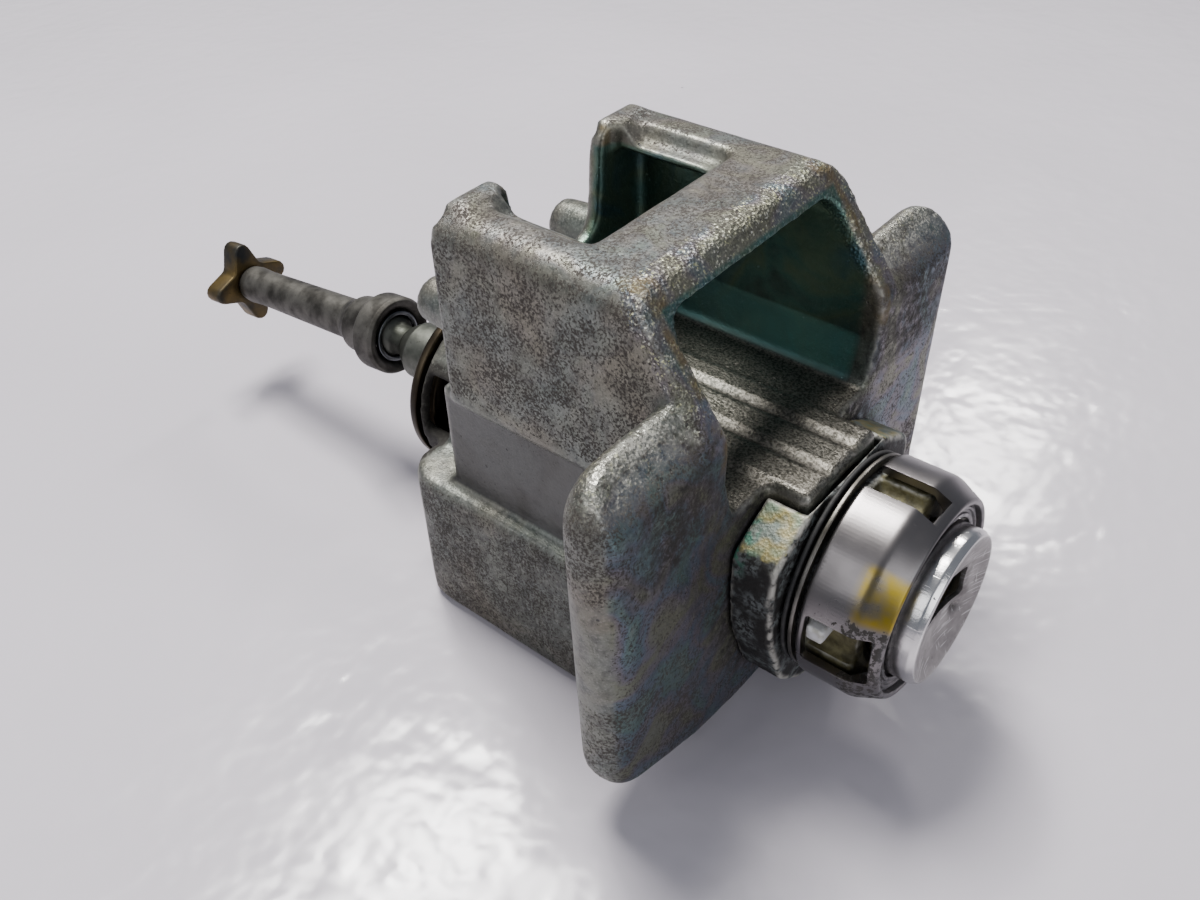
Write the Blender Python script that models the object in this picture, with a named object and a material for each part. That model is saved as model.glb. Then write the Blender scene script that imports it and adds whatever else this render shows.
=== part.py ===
"""Vehicle door lock cylinder in a cast hood housing, with its swivelling tail rod.

Sizes are in millimetres and are turned into metres as each mesh is made.
The pieces are laid out round the lock's axis: it runs along Y, the key face looks
towards -Y and the tail rod points towards +Y, with Z up.  At the end the whole
assembly is lifted so that the origin lies under it, at the middle of its base.
"""
import math

import bmesh
import bpy
from mathutils import Matrix, Vector

MM = 0.001

# ---- fits -------------------------------------------------------------------
GAP = 0.3                      # between pieces that rest on each other
RUNNING = 0.2                  # round a piece that turns or slides
ROUND_SEGMENTS = 40

# ---- sizes that both the casting and the lock follow ----------------------------------
PLUG_RADIUS = 6.7
BODY_WALL = 2.5
BODY_RADIUS = PLUG_RADIUS + BODY_WALL
BARREL_WALL = 2.7
BARREL_RADIUS = BODY_RADIUS + GAP + BARREL_WALL
FLOOR_WALL = 1.5
TUNNEL_FLOOR = BODY_RADIUS + GAP + FLOOR_WALL
CHAMBER_RADIUS = 8.8
REAR_BARREL_WALL = 1.6
REAR_BARREL_RADIUS = CHAMBER_RADIUS + REAR_BARREL_WALL

# ---- casting ----------------------------------------------------------------------------
HOOD_HALF_WIDTH = 15.7
HOOD_WALL = 2.8
HOOD_TOP = 32.0
HOOD_REAR = 43.2
HOOD_SKIRT = 11.8              # where the hood's side walls end over the flank
HOOD_FRONT_TOP = 20.4          # front edge of the deck
REAR_WALL = 1.9
DECK = 2.5
EAR_HALF_WIDTH = 29.4
EAR_FRONT = 12.2
EAR_THICKNESS = 5.8
EAR_ROUND = 2.5
EAR_TOP = 24.2
BASE = -18.4
FLANK_HALF_WIDTH = 15.1
FLANK_REAR = 45.0
BOX_HALF_WIDTH = 17.0
BOX_TOP = -0.2
BOX_REAR = 51.8
BOX_CORNER = 4.8
REAR_BARREL_END = 55.2
CHAMBER_WALL = 1.8
BOSS_RADIUS = 3.1
BOSS_TIP_RADIUS = 2.5
BOSS_X = 10.0
BOSS_Z = 18.3
BOSS_END = 50.4
BOSS_HOLE_RADIUS = 1.15
NOTCH_HALF_WIDTH = 8.6
NOTCH_FRONT = 29.5
REAR_NOTCH_HALF_WIDTH = 6.5
NOTCH_BOTTOM = 21.0
RECESS_HALF_WIDTH = 10.7
RECESS_FRONT = 28.3
RECESS_DEPTH = 1.5
LIP_RISE = 0.6
LIP_LENGTH = 2.4
TONGUE_HALF_WIDTH = 6.35
TONGUE_FRONT = 7.9
TONGUE_DEPTH = 3.0

# ---- lock body ----------------------------------------------------------------
COLLAR_FRONT = 7.3
COLLAR_HALF_WIDTH = 12.6
NOSE_FRONT = 0.2
BODY_REAR = 41.9
SEAL_LENGTH = 0.45
WASHER_LENGTH = 0.45
SNAP_TAB = 1.9
BODY_PIN_RADIUS = 1.2
BODY_PIN_SEAT = 1.2
BODY_PIN_Y = 33.0

# ---- front cap and face ---------------------------------------------------------
CAP_RADIUS = 11.5
CAP_WALL = 0.9
CAP_REAR = 5.2
CAP_FRONT = -2.7
CAP_EDGE_RADIUS = CAP_RADIUS - 1.2
CAP_RECESS = 0.5
FACE_RADIUS = 7.9
FACE_GAP = 0.35
CAP_HOLE_RADIUS = FACE_RADIUS + FACE_GAP
NOSE_RADIUS = CAP_RADIUS - CAP_WALL - 0.5
POCKET_FLOOR = NOSE_RADIUS - 1.4
FACE_FRONT = -4.7
FACE_WALL = 0.4
DISH_DEPTH = 1.6
KEYWAY_LENGTH = 8.8
KEYWAY_HEIGHT = 3.6

# ---- plug, wafers and shutter ----------------------------------------------------
PLUG_HEAD_RADIUS = FACE_RADIUS - FACE_WALL - GAP
PLUG_REAR = BODY_REAR - GAP
PLUG_TAIL_RADIUS = 4.6
WAFER_COUNT = 8
WAFER_FIRST = 8.6
WAFER_PITCH = 3.6
WAFER_THICKNESS = 0.9
WAFER_RADIUS = PLUG_RADIUS - 0.2
WAFER_HALF_HEIGHT = 3.3
WAFER_TRAVEL = 0.6
WAFER_WINDOW_ROOM = 0.15
SHUTTER_PIN_RADIUS = 0.45
SHUTTER_PIN_Y = -0.9
SHUTTER_PIN_Z = 2.6

# ---- driver and tail ----------------------------------------------------------------
DRIVER_DISC_FRONT = 48.0
DRIVER_DISC_RADIUS = CHAMBER_RADIUS - 2 * GAP
BLADE_HALF = 1.0
DRIVER_SHAFT_RADIUS = 3.6
DRIVER_SHAFT_END = 65.0
BALL_CENTRE = DRIVER_SHAFT_END + 6.2
BALL_RADIUS = 2.9
CROSS_PIN_RADIUS = 0.8
COLLAR_RING_RADIUS = BALL_RADIUS + 2.0
CROSS_PIN_HALF = COLLAR_RING_RADIUS - 0.9
COLLAR_RING_FRONT = BALL_CENTRE - 2.0
COLLAR_RING_REAR = BALL_CENTRE + 1.5
ROD_RADIUS = 2.4
ROD_END = 99.6
STAR_RADIUS = 5.9
STAR_ROOT_RADIUS = 3.0
STAR_THICKNESS = 3.0
STAR_POINTS = 4
TAIL_DROOP = math.radians(6.3)

CAST_GREY = (0.42, 0.42, 0.40)


# ---- small tools ---------------------------------------------------------------------
def clear_scene():
    for thing in list(bpy.data.objects):
        bpy.data.objects.remove(thing, do_unlink=True)


def finish(name, colour, roughness=0.5, metallic=1.0):
    """Make the Principled material of one piece."""
    material = bpy.data.materials.new(name)
    material.use_nodes = True
    shader = material.node_tree.nodes["Principled BSDF"]
    shader.inputs["Base Color"].default_value = (*colour, 1.0)
    shader.inputs["Roughness"].default_value = roughness
    shader.inputs["Metallic"].default_value = metallic
    return material


def empty(name, location=(0.0, 0.0, 0.0), parent=None, tilt=0.0):
    """An empty that carries pieces, with its place in millimetres."""
    holder = bpy.data.objects.new(name, None)
    bpy.context.scene.collection.objects.link(holder)
    holder.empty_display_size = 0.01
    holder.location = Vector(location) * MM
    holder.rotation_euler = (tilt, 0.0, 0.0)
    holder.parent = parent
    return holder


def mesh_object(name, bm, parent, material=None, cutter=False):
    """Turn a bmesh in millimetres into an object in metres."""
    bmesh.ops.scale(bm, vec=(MM, MM, MM), verts=bm.verts)
    bmesh.ops.recalc_face_normals(bm, faces=bm.faces)
    mesh = bpy.data.meshes.new(name)
    bm.to_mesh(mesh)
    bm.free()
    thing = bpy.data.objects.new(name, mesh)
    bpy.context.scene.collection.objects.link(thing)
    thing.parent = parent
    if cutter:
        thing.hide_render = True
        thing.display_type = 'WIRE'
    else:
        mesh.materials.append(material)
        mesh.shade_smooth()
        mesh.set_sharp_from_angle(angle=math.radians(30))
    return thing


def combine(target, other, operation):
    """Cut, join or keep the overlap of two solids with a live Boolean."""
    step = target.modifiers.new(other.name, 'BOOLEAN')
    step.operation = operation
    step.solver = 'EXACT'
    step.object = other


def soften(target, width, segments):
    """Round the edges of a prism's two ends."""
    step = target.modifiers.new("rounded_ends", 'BEVEL')
    step.width = width * MM
    step.segments = segments
    step.limit_method = 'ANGLE'
    step.angle_limit = math.radians(50)


def cut(target, other):
    combine(target, other, 'DIFFERENCE')


def join(target, other):
    combine(target, other, 'UNION')


def rounded(corners, steps=4):
    """Outline through (a, b, radius) corners, with an arc at each corner."""
    outline = []
    count = len(corners)
    for index, (a, b, radius) in enumerate(corners):
        here = Vector((a, b))
        if radius <= 0.0:
            outline.append(here)
            continue
        before = Vector(corners[index - 1][:2]) - here
        after = Vector(corners[(index + 1) % count][:2]) - here
        half = before.angle(after) / 2.0
        reach = min(radius / math.tan(half), 0.48 * before.length, 0.48 * after.length)
        radius = reach * math.tan(half)
        middle = here + (before.normalized() + after.normalized()).normalized() * radius / math.sin(half)
        start = here + before.normalized() * reach - middle
        sweep = start.angle_signed(here + after.normalized() * reach - middle)
        for step in range(steps + 1):
            turn = Matrix.Rotation(-sweep * step / steps, 2)
            outline.append(middle + turn @ start)
    return outline


def mirrored(corners):
    """Close a right-hand outline of (x, z, radius) corners with its left-hand copy."""
    return corners + [(-x, z, radius) for x, z, radius in reversed(corners)]


def place(plane, a, b, depth):
    """Point (a, b) of an outline, at a depth across its plane."""
    return {'XZ': (a, depth, b), 'YZ': (depth, a, b), 'XY': (a, b, depth)}[plane]


def prism(outline, plane, low, high):
    """Closed prism of an outline, between two depths across its plane."""
    bm = bmesh.new()
    face = bm.faces.new([bm.verts.new(place(plane, a, b, low)) for a, b in outline])
    grown = bmesh.ops.extrude_face_region(bm, geom=[face])
    moved = [item for item in grown["geom"] if isinstance(item, bmesh.types.BMVert)]
    shift = Vector(place(plane, 0.0, 0.0, high)) - Vector(place(plane, 0.0, 0.0, low))
    bmesh.ops.translate(bm, vec=shift, verts=moved)
    return bm


def block(x, y, z):
    """Box between (low, high) pairs."""
    outline = [(x[0], y[0]), (x[1], y[0]), (x[1], y[1]), (x[0], y[1])]
    return prism(outline, 'XY', *z)


def rod(radius, low, high, axis='Y', centre=(0.0, 0.0), segments=ROUND_SEGMENTS):
    """Round bar along one axis; centre is across it, in X, Y, Z order."""
    plane = {'X': 'YZ', 'Y': 'XZ', 'Z': 'XY'}[axis]
    outline = [
        (centre[0] + radius * math.cos(math.tau * step / segments),
         centre[1] + radius * math.sin(math.tau * step / segments))
        for step in range(segments)
    ]
    return prism(outline, plane, low, high)


def turned(profile, segments=ROUND_SEGMENTS):
    """Solid turned about Y from a closed (radius, y) profile."""
    bm = bmesh.new()
    rings = []
    for radius, y in profile:
        if radius < 1e-6:
            rings.append([bm.verts.new((0.0, y, 0.0))])
            continue
        rings.append([
            bm.verts.new((radius * math.sin(math.tau * step / segments), y,
                          radius * math.cos(math.tau * step / segments)))
            for step in range(segments)
        ])
    for first, second in zip(rings, rings[1:] + rings[:1]):
        if len(first) == 1 and len(second) == 1:
            continue
        for step in range(segments):
            after = (step + 1) % segments
            corners = [first[step % len(first)], first[after % len(first)],
                       second[after % len(second)], second[step % len(second)]]
            bm.faces.new(list(dict.fromkeys(corners)))
    return bm


def coil(radius, wire, start, pitch, turns, axis='Y', centre=(0.0, 0.0, 0.0), per_turn=16, sides=6):
    """Helical wire with flat ends, wound about one axis."""
    steps = round(per_turn * turns)
    bm = bmesh.new()
    rings = []
    for step in range(steps + 1):
        angle = math.tau * step / per_turn
        along = start + pitch * step / per_turn
        ring = []
        for side in range(sides):
            lean = math.tau * side / sides
            reach = radius + wire * math.cos(lean)
            depth = along + wire * math.sin(lean)
            u, v = reach * math.cos(angle), reach * math.sin(angle)
            point = (u, depth, v) if axis == 'Y' else (depth, u, v)
            ring.append(bm.verts.new(Vector(point) + Vector(centre)))
        rings.append(ring)
    for first, second in zip(rings, rings[1:]):
        for side in range(sides):
            after = (side + 1) % sides
            bm.faces.new([first[side], first[after], second[after], second[side]])
    bm.faces.new(rings[0])
    bm.faces.new(rings[-1])
    return bm


def arc(centre, radius, start, end, steps):
    """Profile points on an arc; centre and points are (radius, y), angles in degrees from +Y."""
    return [
        (centre[0] + radius * math.sin(math.radians(start + (end - start) * step / steps)),
         centre[1] + radius * math.cos(math.radians(start + (end - start) * step / steps)))
        for step in range(steps + 1)
    ]


# ---- the housing ------------------------------------------------------------------------
def build_housing(frame):
    """The one-piece zinc casting: hood, ears, flanks, base box and rear barrel."""
    material = finish("cast_zinc", CAST_GREY, 0.55)

    def tool(name, bm):
        return mesh_object("tool_" + name, bm, frame, cutter=True)

    side = rounded([(HOOD_REAR, HOOD_SKIRT, 0.0), (EAR_FRONT, HOOD_SKIRT, 0.0), (EAR_FRONT, 20.6, 4.0),
                    (HOOD_FRONT_TOP, HOOD_TOP, 1.6), (HOOD_REAR, HOOD_TOP, 2.0)])
    housing = mesh_object("outer_housing", prism(side, 'YZ', -HOOD_HALF_WIDTH, HOOD_HALF_WIDTH),
                          frame, material)
    shoulders = rounded(mirrored([(HOOD_HALF_WIDTH + 0.01, HOOD_SKIRT - 1.0, 0.0),
                                  (HOOD_HALF_WIDTH + 0.01, HOOD_TOP + 0.01, 2.6)]), 5)
    combine(housing, tool("hood_shoulders", prism(shoulders, 'XZ', EAR_FRONT - 1.0, HOOD_REAR + 1.0)),
            'INTERSECT')

    lip = rounded([(REAR_NOTCH_HALF_WIDTH + 1.1, HOOD_TOP - 1.0, 0.0),
                   (REAR_NOTCH_HALF_WIDTH + 1.1, HOOD_TOP + LIP_RISE, 0.5),
                   (HOOD_HALF_WIDTH - 2.6, HOOD_TOP + LIP_RISE, 0.8), (HOOD_HALF_WIDTH - 1.4, HOOD_TOP - 1.0, 0.0)])
    for hand in (-1, 1):
        across = [(hand * x, z) for x, z in lip]
        rear_lip = prism(across, 'XZ', HOOD_REAR - LIP_LENGTH, HOOD_REAR - 0.25)
        join(housing, tool(f"rear_lip_{hand}", rear_lip))

    ear_outline = rounded(mirrored([(7.0, BASE, 12.0), (15.9, BASE + 1.1, 14.0), (28.4, BASE + 5.4, 4.6),
                                    (EAR_HALF_WIDTH, EAR_TOP, 5.0)]), 5)
    ears = tool("ears", prism(ear_outline, 'XZ', EAR_FRONT, EAR_FRONT + EAR_THICKNESS))
    soften(ears, EAR_ROUND, 4)
    far = EAR_FRONT + EAR_THICKNESS + 1.0
    near = EAR_FRONT - 1.0
    ear_section = rounded([(near, BASE - 1.0, 0.0), (near, EAR_TOP - 5.4, 0.0), (EAR_FRONT, EAR_TOP - 4.4, 2.0),
                           (EAR_FRONT + 3.4, EAR_TOP, 3.0), (far, EAR_TOP + 0.1, 0.0), (far, BASE - 1.0, 0.0)])
    section = tool("ear_section", prism(ear_section, 'YZ', -EAR_HALF_WIDTH - 1.0, EAR_HALF_WIDTH + 1.0))
    combine(ears, section, 'INTERSECT')
    join(housing, ears)

    flank = block((-FLANK_HALF_WIDTH, FLANK_HALF_WIDTH), (EAR_FRONT + 1.5, FLANK_REAR),
                  (BOX_TOP - 2.0, HOOD_SKIRT + 0.7))
    join(housing, tool("flank", flank))
    box_outline = rounded([(-BOX_HALF_WIDTH, EAR_FRONT + 2.0, 0.0), (BOX_HALF_WIDTH, EAR_FRONT + 2.0, 0.0),
                           (BOX_HALF_WIDTH, BOX_REAR, BOX_CORNER), (-BOX_HALF_WIDTH, BOX_REAR, BOX_CORNER)])
    base_box = tool("base_box", prism(box_outline, 'XY', BASE, BOX_TOP))
    soften(base_box, 0.9, 2)
    join(housing, base_box)

    pocket = block((2.4 - BOX_HALF_WIDTH, BOX_HALF_WIDTH - 2.4),
                   (EAR_FRONT + EAR_THICKNESS + 2.4, BOX_REAR - 2.4), (BASE - 1.0, BOX_TOP - 2.2))
    cut(housing, tool("base_pocket", pocket))
    join(housing, tool("barrel", rod(BARREL_RADIUS, EAR_FRONT + 3.0, FLANK_REAR + 1.0)))
    join(housing, tool("rear_barrel", rod(REAR_BARREL_RADIUS, FLANK_REAR - 1.0, REAR_BARREL_END)))

    wall = HOOD_HALF_WIDTH - HOOD_WALL
    tunnel = rounded(mirrored([(wall - 1.3, TUNNEL_FLOOR, 0.0), (wall, TUNNEL_FLOOR + 4.4, 0.0),
                               (wall, HOOD_TOP - DECK, 2.0)]))
    cut(housing, tool("tunnel", prism(tunnel, 'XZ', EAR_FRONT - 5.0, HOOD_REAR - REAR_WALL)))
    tongue = block((-TONGUE_HALF_WIDTH, TONGUE_HALF_WIDTH), (TONGUE_FRONT, EAR_FRONT + 2.0),
                   (TUNNEL_FLOOR - TONGUE_DEPTH, TUNNEL_FLOOR))
    join(housing, tool("tongue", tongue))

    ledge = HOOD_TOP - RECESS_DEPTH
    recess = [(RECESS_FRONT, HOOD_TOP + 2.0), (RECESS_FRONT, HOOD_TOP - 0.05), (RECESS_FRONT + 0.9, ledge),
              (HOOD_REAR - LIP_LENGTH - 2.1, ledge), (HOOD_REAR - LIP_LENGTH, HOOD_TOP + LIP_RISE),
              (HOOD_REAR - LIP_LENGTH, HOOD_TOP + 2.0)]
    cut(housing, tool("deck_recess", prism(recess, 'YZ', -RECESS_HALF_WIDTH, RECESS_HALF_WIDTH)))
    inner_rear = HOOD_REAR - REAR_WALL
    opening = rounded([(-NOTCH_HALF_WIDTH, inner_rear, 0.0), (-NOTCH_HALF_WIDTH, NOTCH_FRONT, 1.6),
                       (NOTCH_HALF_WIDTH, NOTCH_FRONT, 1.6), (NOTCH_HALF_WIDTH, inner_rear, 0.0)])
    cut(housing, tool("deck_notch", prism(opening, 'XY', HOOD_TOP - DECK - 2.0, HOOD_TOP + 2.0)))
    rear_notch = rounded(mirrored([(REAR_NOTCH_HALF_WIDTH - 0.9, NOTCH_BOTTOM, 2.8),
                                   (REAR_NOTCH_HALF_WIDTH, ledge, 0.0),
                                   (REAR_NOTCH_HALF_WIDTH + 1.0, HOOD_TOP + 1.0, 0.0)]))
    cut(housing, tool("rear_notch", prism(rear_notch, 'XZ', inner_rear - 3.0, HOOD_REAR + 3.0)))

    cut(housing, tool("bore", rod(BODY_RADIUS + GAP, TONGUE_FRONT - 2.0, BODY_REAR + 2.7)))
    cut(housing, tool("web_hole", rod(PLUG_TAIL_RADIUS + GAP, BODY_REAR, BODY_REAR + 8.0)))
    chamber = BODY_REAR + 2.7 + CHAMBER_WALL
    cut(housing, tool("chamber", rod(CHAMBER_RADIUS, chamber, REAR_BARREL_END + 2.0)))
    window = block((-REAR_BARREL_RADIUS - 2.0, -CHAMBER_RADIUS * 0.45), (REAR_BARREL_END - 4.6, REAR_BARREL_END - 0.8),
                   (BOX_TOP - 0.6, 5.8))
    cut(housing, tool("spring_window", window))
    for hand in (-1, 1):
        place_of_boss = (hand * BOSS_X, BOSS_Z)
        boss = turned([(0.0, HOOD_REAR - 1.0), (BOSS_RADIUS, HOOD_REAR - 1.0), (BOSS_TIP_RADIUS, BOSS_END - 0.4),
                       (BOSS_TIP_RADIUS - 0.4, BOSS_END), (0.0, BOSS_END)], 24)
        bmesh.ops.translate(boss, vec=(place_of_boss[0], 0.0, place_of_boss[1]), verts=boss.verts)
        join(housing, tool(f"rear_boss_{hand}", boss))
        cut(housing, tool(f"boss_hole_{hand}",
                          rod(BOSS_HOLE_RADIUS, HOOD_REAR + 1.6, BOSS_END + 1.0, centre=place_of_boss,
                              segments=16)))
    pin_hole = rod(BODY_PIN_RADIUS + GAP, -BARREL_RADIUS - 2.0, -BODY_RADIUS, 'Z', (0.0, BODY_PIN_Y), 16)
    cut(housing, tool("body_pin_hole", pin_hole))
    return housing


# ---- the lock body and what is fixed to it ---------------------------------------------------
def build_lock_body(frame):
    """Stator: a tube with an eight-sided collar in front and a nose that carries the cap."""
    half = COLLAR_HALF_WIDTH
    collar = rounded(mirrored([(4.4, -14.6, 5.0), (9.0, -10.6, 4.0), (half - 0.7, -3.0, 5.0), (half, 3.2, 3.0),
                               (half - 0.3, 7.1, 1.4), (TONGUE_HALF_WIDTH + GAP, 10.2, 0.4)]))
    body = mesh_object("lock_body", prism(collar, 'XZ', COLLAR_FRONT, EAR_FRONT - GAP), frame,
                       finish("body_zinc", (0.40, 0.39, 0.33), 0.6))
    join(body, mesh_object("tool_body_tube", rod(BODY_RADIUS, EAR_FRONT - 1.0, BODY_REAR), frame, cutter=True))
    join(body, mesh_object("tool_body_nose", rod(NOSE_RADIUS, NOSE_FRONT, COLLAR_FRONT + 1.0), frame,
                           cutter=True))
    notch = block((-TONGUE_HALF_WIDTH - GAP, TONGUE_HALF_WIDTH + GAP), (COLLAR_FRONT + GAP, EAR_FRONT + 0.5),
                  (TUNNEL_FLOOR - TONGUE_DEPTH - GAP, TUNNEL_FLOOR + 2.0))
    cut(body, mesh_object("tool_tongue_notch", notch, frame, cutter=True))
    for hand in (-1, 1):
        reach = sorted((hand * POCKET_FLOOR, hand * (NOSE_RADIUS + 1.0)))
        side = block(reach, (-0.5, 4.9), (-2.5, 2.6))
        cut(body, mesh_object(f"tool_side_pocket_{hand}", side, frame, cutter=True))
        slot = block((-1.6, 1.6), (-0.5, 4.9), reach)
        cut(body, mesh_object(f"tool_end_pocket_{hand}", slot, frame, cutter=True))
        reach = sorted((hand * (POCKET_FLOOR - 0.6), hand * (CAP_RADIUS - 0.15)))
        tab = block(reach, (2.6, 2.6 + SNAP_TAB), (0.1, 0.1 + SNAP_TAB * 0.9))
        join(body, mesh_object(f"tool_snap_tab_{hand}", tab, frame, cutter=True))
    cut(body, mesh_object("tool_plug_bore", rod(PLUG_RADIUS + RUNNING, NOSE_FRONT - 2.0, BODY_REAR + 2.0),
                          frame, cutter=True))
    channel = rod(WAFER_RADIUS + WAFER_TRAVEL + RUNNING, WAFER_FIRST - 1.6,
                  WAFER_FIRST + WAFER_PITCH * WAFER_COUNT)
    cut(body, mesh_object("tool_wafer_channel", channel, frame, cutter=True))
    hole = rod(BODY_PIN_RADIUS + RUNNING, -BODY_RADIUS - 1.0, -BODY_RADIUS + BODY_PIN_SEAT, 'Z', (0.0, BODY_PIN_Y), 16)
    cut(body, mesh_object("tool_body_pin_seat", hole, frame, cutter=True))
    return body


def build_front_rings(frame):
    """Rubber seal and steel washer between the collar and the cap."""
    inner = NOSE_RADIUS + GAP
    rear = COLLAR_FRONT - GAP
    front = rear - SEAL_LENGTH
    seal = [(inner, front), (inner + 0.55, front), (inner + 0.75, rear - 0.2), (inner + 0.55, rear), (inner, rear)]
    mesh_object("front_seal", turned(seal), frame, finish("seal_rubber", (0.02, 0.02, 0.02), 0.8, 0.0))
    outer = CAP_RADIUS - GAP
    rear = front - 0.35
    front = rear - WASHER_LENGTH
    washer = [(inner, front), (outer, front), (outer, rear), (inner, rear)]
    mesh_object("spacer_washer", turned(washer), frame, finish("washer_steel", (0.5, 0.48, 0.44), 0.4))


def build_front_cap(frame):
    """Plated cap: a cylinder, a cone, a grooved front wall, and four windows."""
    inner = CAP_RADIUS - CAP_WALL
    face = CAP_FRONT + CAP_RECESS
    groove = CAP_HOLE_RADIUS + 0.5
    profile = [
        (CAP_HOLE_RADIUS, face), (groove, face), (groove + 0.15, face + 0.25), (groove + 0.45, face + 0.25),
        (groove + 0.6, face),
        (CAP_EDGE_RADIUS - 0.5, face), (CAP_EDGE_RADIUS - 0.3, CAP_FRONT), (CAP_EDGE_RADIUS, CAP_FRONT + 0.1),
        (CAP_RADIUS, 0.0), (CAP_RADIUS, CAP_REAR - 0.3), (CAP_RADIUS - 0.3, CAP_REAR), (inner, CAP_REAR),
        (inner, -0.1), (CAP_EDGE_RADIUS - 0.9, face + 1.1), (CAP_HOLE_RADIUS, face + 1.1),
    ]
    cap = mesh_object("front_cap", turned(profile, 64), frame, finish("cap_chrome", (0.75, 0.76, 0.79), 0.16))
    for hand in (-1, 1):
        ends = sorted((hand * (CAP_RADIUS - 2.6), hand * (CAP_RADIUS + 1.0)))
        side = block(ends, (-1.8, CAP_REAR - 0.6), (-2.8, 2.9))
        cut(cap, mesh_object(f"tool_side_window_{hand}", side, frame, cutter=True))
        slot = block((-1.75, 1.75), (-1.8, CAP_REAR + 1.0), ends)
        cut(cap, mesh_object(f"tool_slot_{hand}", slot, frame, cutter=True))
    return cap


def build_body_pin(frame):
    """Grooved pin that locks the lock body in the casting, driven in from below."""
    pin = rod(BODY_PIN_RADIUS, -BARREL_RADIUS + 0.1, -BODY_RADIUS + BODY_PIN_SEAT - 0.3, 'Z', (0.0, BODY_PIN_Y), 16)
    mesh_object("body_pin", pin, frame, finish("pin_steel", (0.45, 0.45, 0.46), 0.35))


# ---- what turns with the key ---------------------------------------------------------------------
def wafer_places():
    """Place along the axis of each wafer."""
    return [WAFER_FIRST + WAFER_PITCH * number for number in range(WAFER_COUNT)]


def build_plug(turning):
    """Plug: slotted for the wafers, cored for the key, with a slot for the driver's blade."""
    profile = [(0.0, -2.0), (PLUG_HEAD_RADIUS, -2.0), (PLUG_HEAD_RADIUS, NOSE_FRONT - GAP),
               (PLUG_RADIUS, NOSE_FRONT - GAP), (PLUG_RADIUS, PLUG_REAR), (PLUG_TAIL_RADIUS, PLUG_REAR),
               (PLUG_TAIL_RADIUS, PLUG_REAR + 0.6), (PLUG_TAIL_RADIUS - 0.7, PLUG_REAR + 0.6),
               (PLUG_TAIL_RADIUS - 0.7, PLUG_REAR + 1.6), (PLUG_TAIL_RADIUS, PLUG_REAR + 1.6),
               (PLUG_TAIL_RADIUS, DRIVER_DISC_FRONT - GAP), (0.0, DRIVER_DISC_FRONT - GAP)]
    plug = mesh_object("plug", turned(profile), turning, finish("plug_brass", (0.55, 0.45, 0.22), 0.4))

    def remove(name, bm):
        cut(plug, mesh_object("tool_" + name, bm, turning, cutter=True))

    remove("keyway", block((-KEYWAY_LENGTH / 2, KEYWAY_LENGTH / 2),
                           (-4.0, WAFER_FIRST + WAFER_PITCH * (WAFER_COUNT - 0.5)),
                           (-KEYWAY_HEIGHT / 2, KEYWAY_HEIGHT / 2)))
    remove("shutter_pocket", block((-4.9, 4.9), (-3.0, 4.6), (-2.3, SHUTTER_PIN_Z + 1.3)))
    remove("shutter_pin_hole", rod(SHUTTER_PIN_RADIUS + RUNNING, -7.5, 7.5, 'X',
                                   (SHUTTER_PIN_Y, SHUTTER_PIN_Z), 12))
    for number, y in enumerate(wafer_places(), 1):
        half = WAFER_THICKNESS / 2 + RUNNING
        remove(f"wafer_slot_{number}", block((-8.0, 8.0), (y - half, y + half),
                                             (-WAFER_HALF_HEIGHT - RUNNING, WAFER_HALF_HEIGHT + RUNNING)))
        remove(f"spring_pocket_{number}", block((-2.7, 2.7), (y - 0.75, y + 0.75), (3.0, 5.35)))
    remove("blade_slot", block((-PLUG_TAIL_RADIUS - 1.0, PLUG_TAIL_RADIUS + 1.0),
                               (DRIVER_DISC_FRONT - 2.8, DRIVER_DISC_FRONT + 1.0),
                               (-BLADE_HALF - RUNNING, BLADE_HALF + RUNNING)))
    return plug


def build_face(turning):
    """Dished face of the plug, with the key slot through it."""
    rim = FACE_FRONT
    sag = DISH_DEPTH
    reach = FACE_RADIUS - 0.7
    dish_radius = (reach * reach + sag * sag) / (2 * sag)
    angle = math.degrees(math.asin(reach / dish_radius))
    outside = arc((0.0, rim + sag - dish_radius), dish_radius, 0.0, angle, 6)
    inside = [(radius * (1 - FACE_WALL / FACE_RADIUS), y + FACE_WALL + 0.1) for radius, y in reversed(outside)]
    profile = outside + [
        (FACE_RADIUS - 0.35, rim + 0.05), (FACE_RADIUS - 0.05, rim + 0.4), (FACE_RADIUS, rim + 0.8),
        (FACE_RADIUS, -0.5), (FACE_RADIUS - FACE_WALL, -0.5), (FACE_RADIUS - FACE_WALL, rim + 0.9),
    ] + inside
    face = mesh_object("face_plate", turned(profile, 48), turning,
                       finish("face_nickel", (0.56, 0.55, 0.54), 0.42))
    slot = rounded([(-KEYWAY_LENGTH / 2, -KEYWAY_HEIGHT / 2, 0.5), (KEYWAY_LENGTH / 2, -KEYWAY_HEIGHT / 2, 0.5),
                    (KEYWAY_LENGTH / 2, KEYWAY_HEIGHT / 2, 0.5), (-KEYWAY_LENGTH / 2, KEYWAY_HEIGHT / 2, 0.5)], 3)
    cut(face, mesh_object("tool_face_slot", prism(slot, 'XZ', rim - 1.0, 1.0), turning, cutter=True))
    return face


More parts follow.
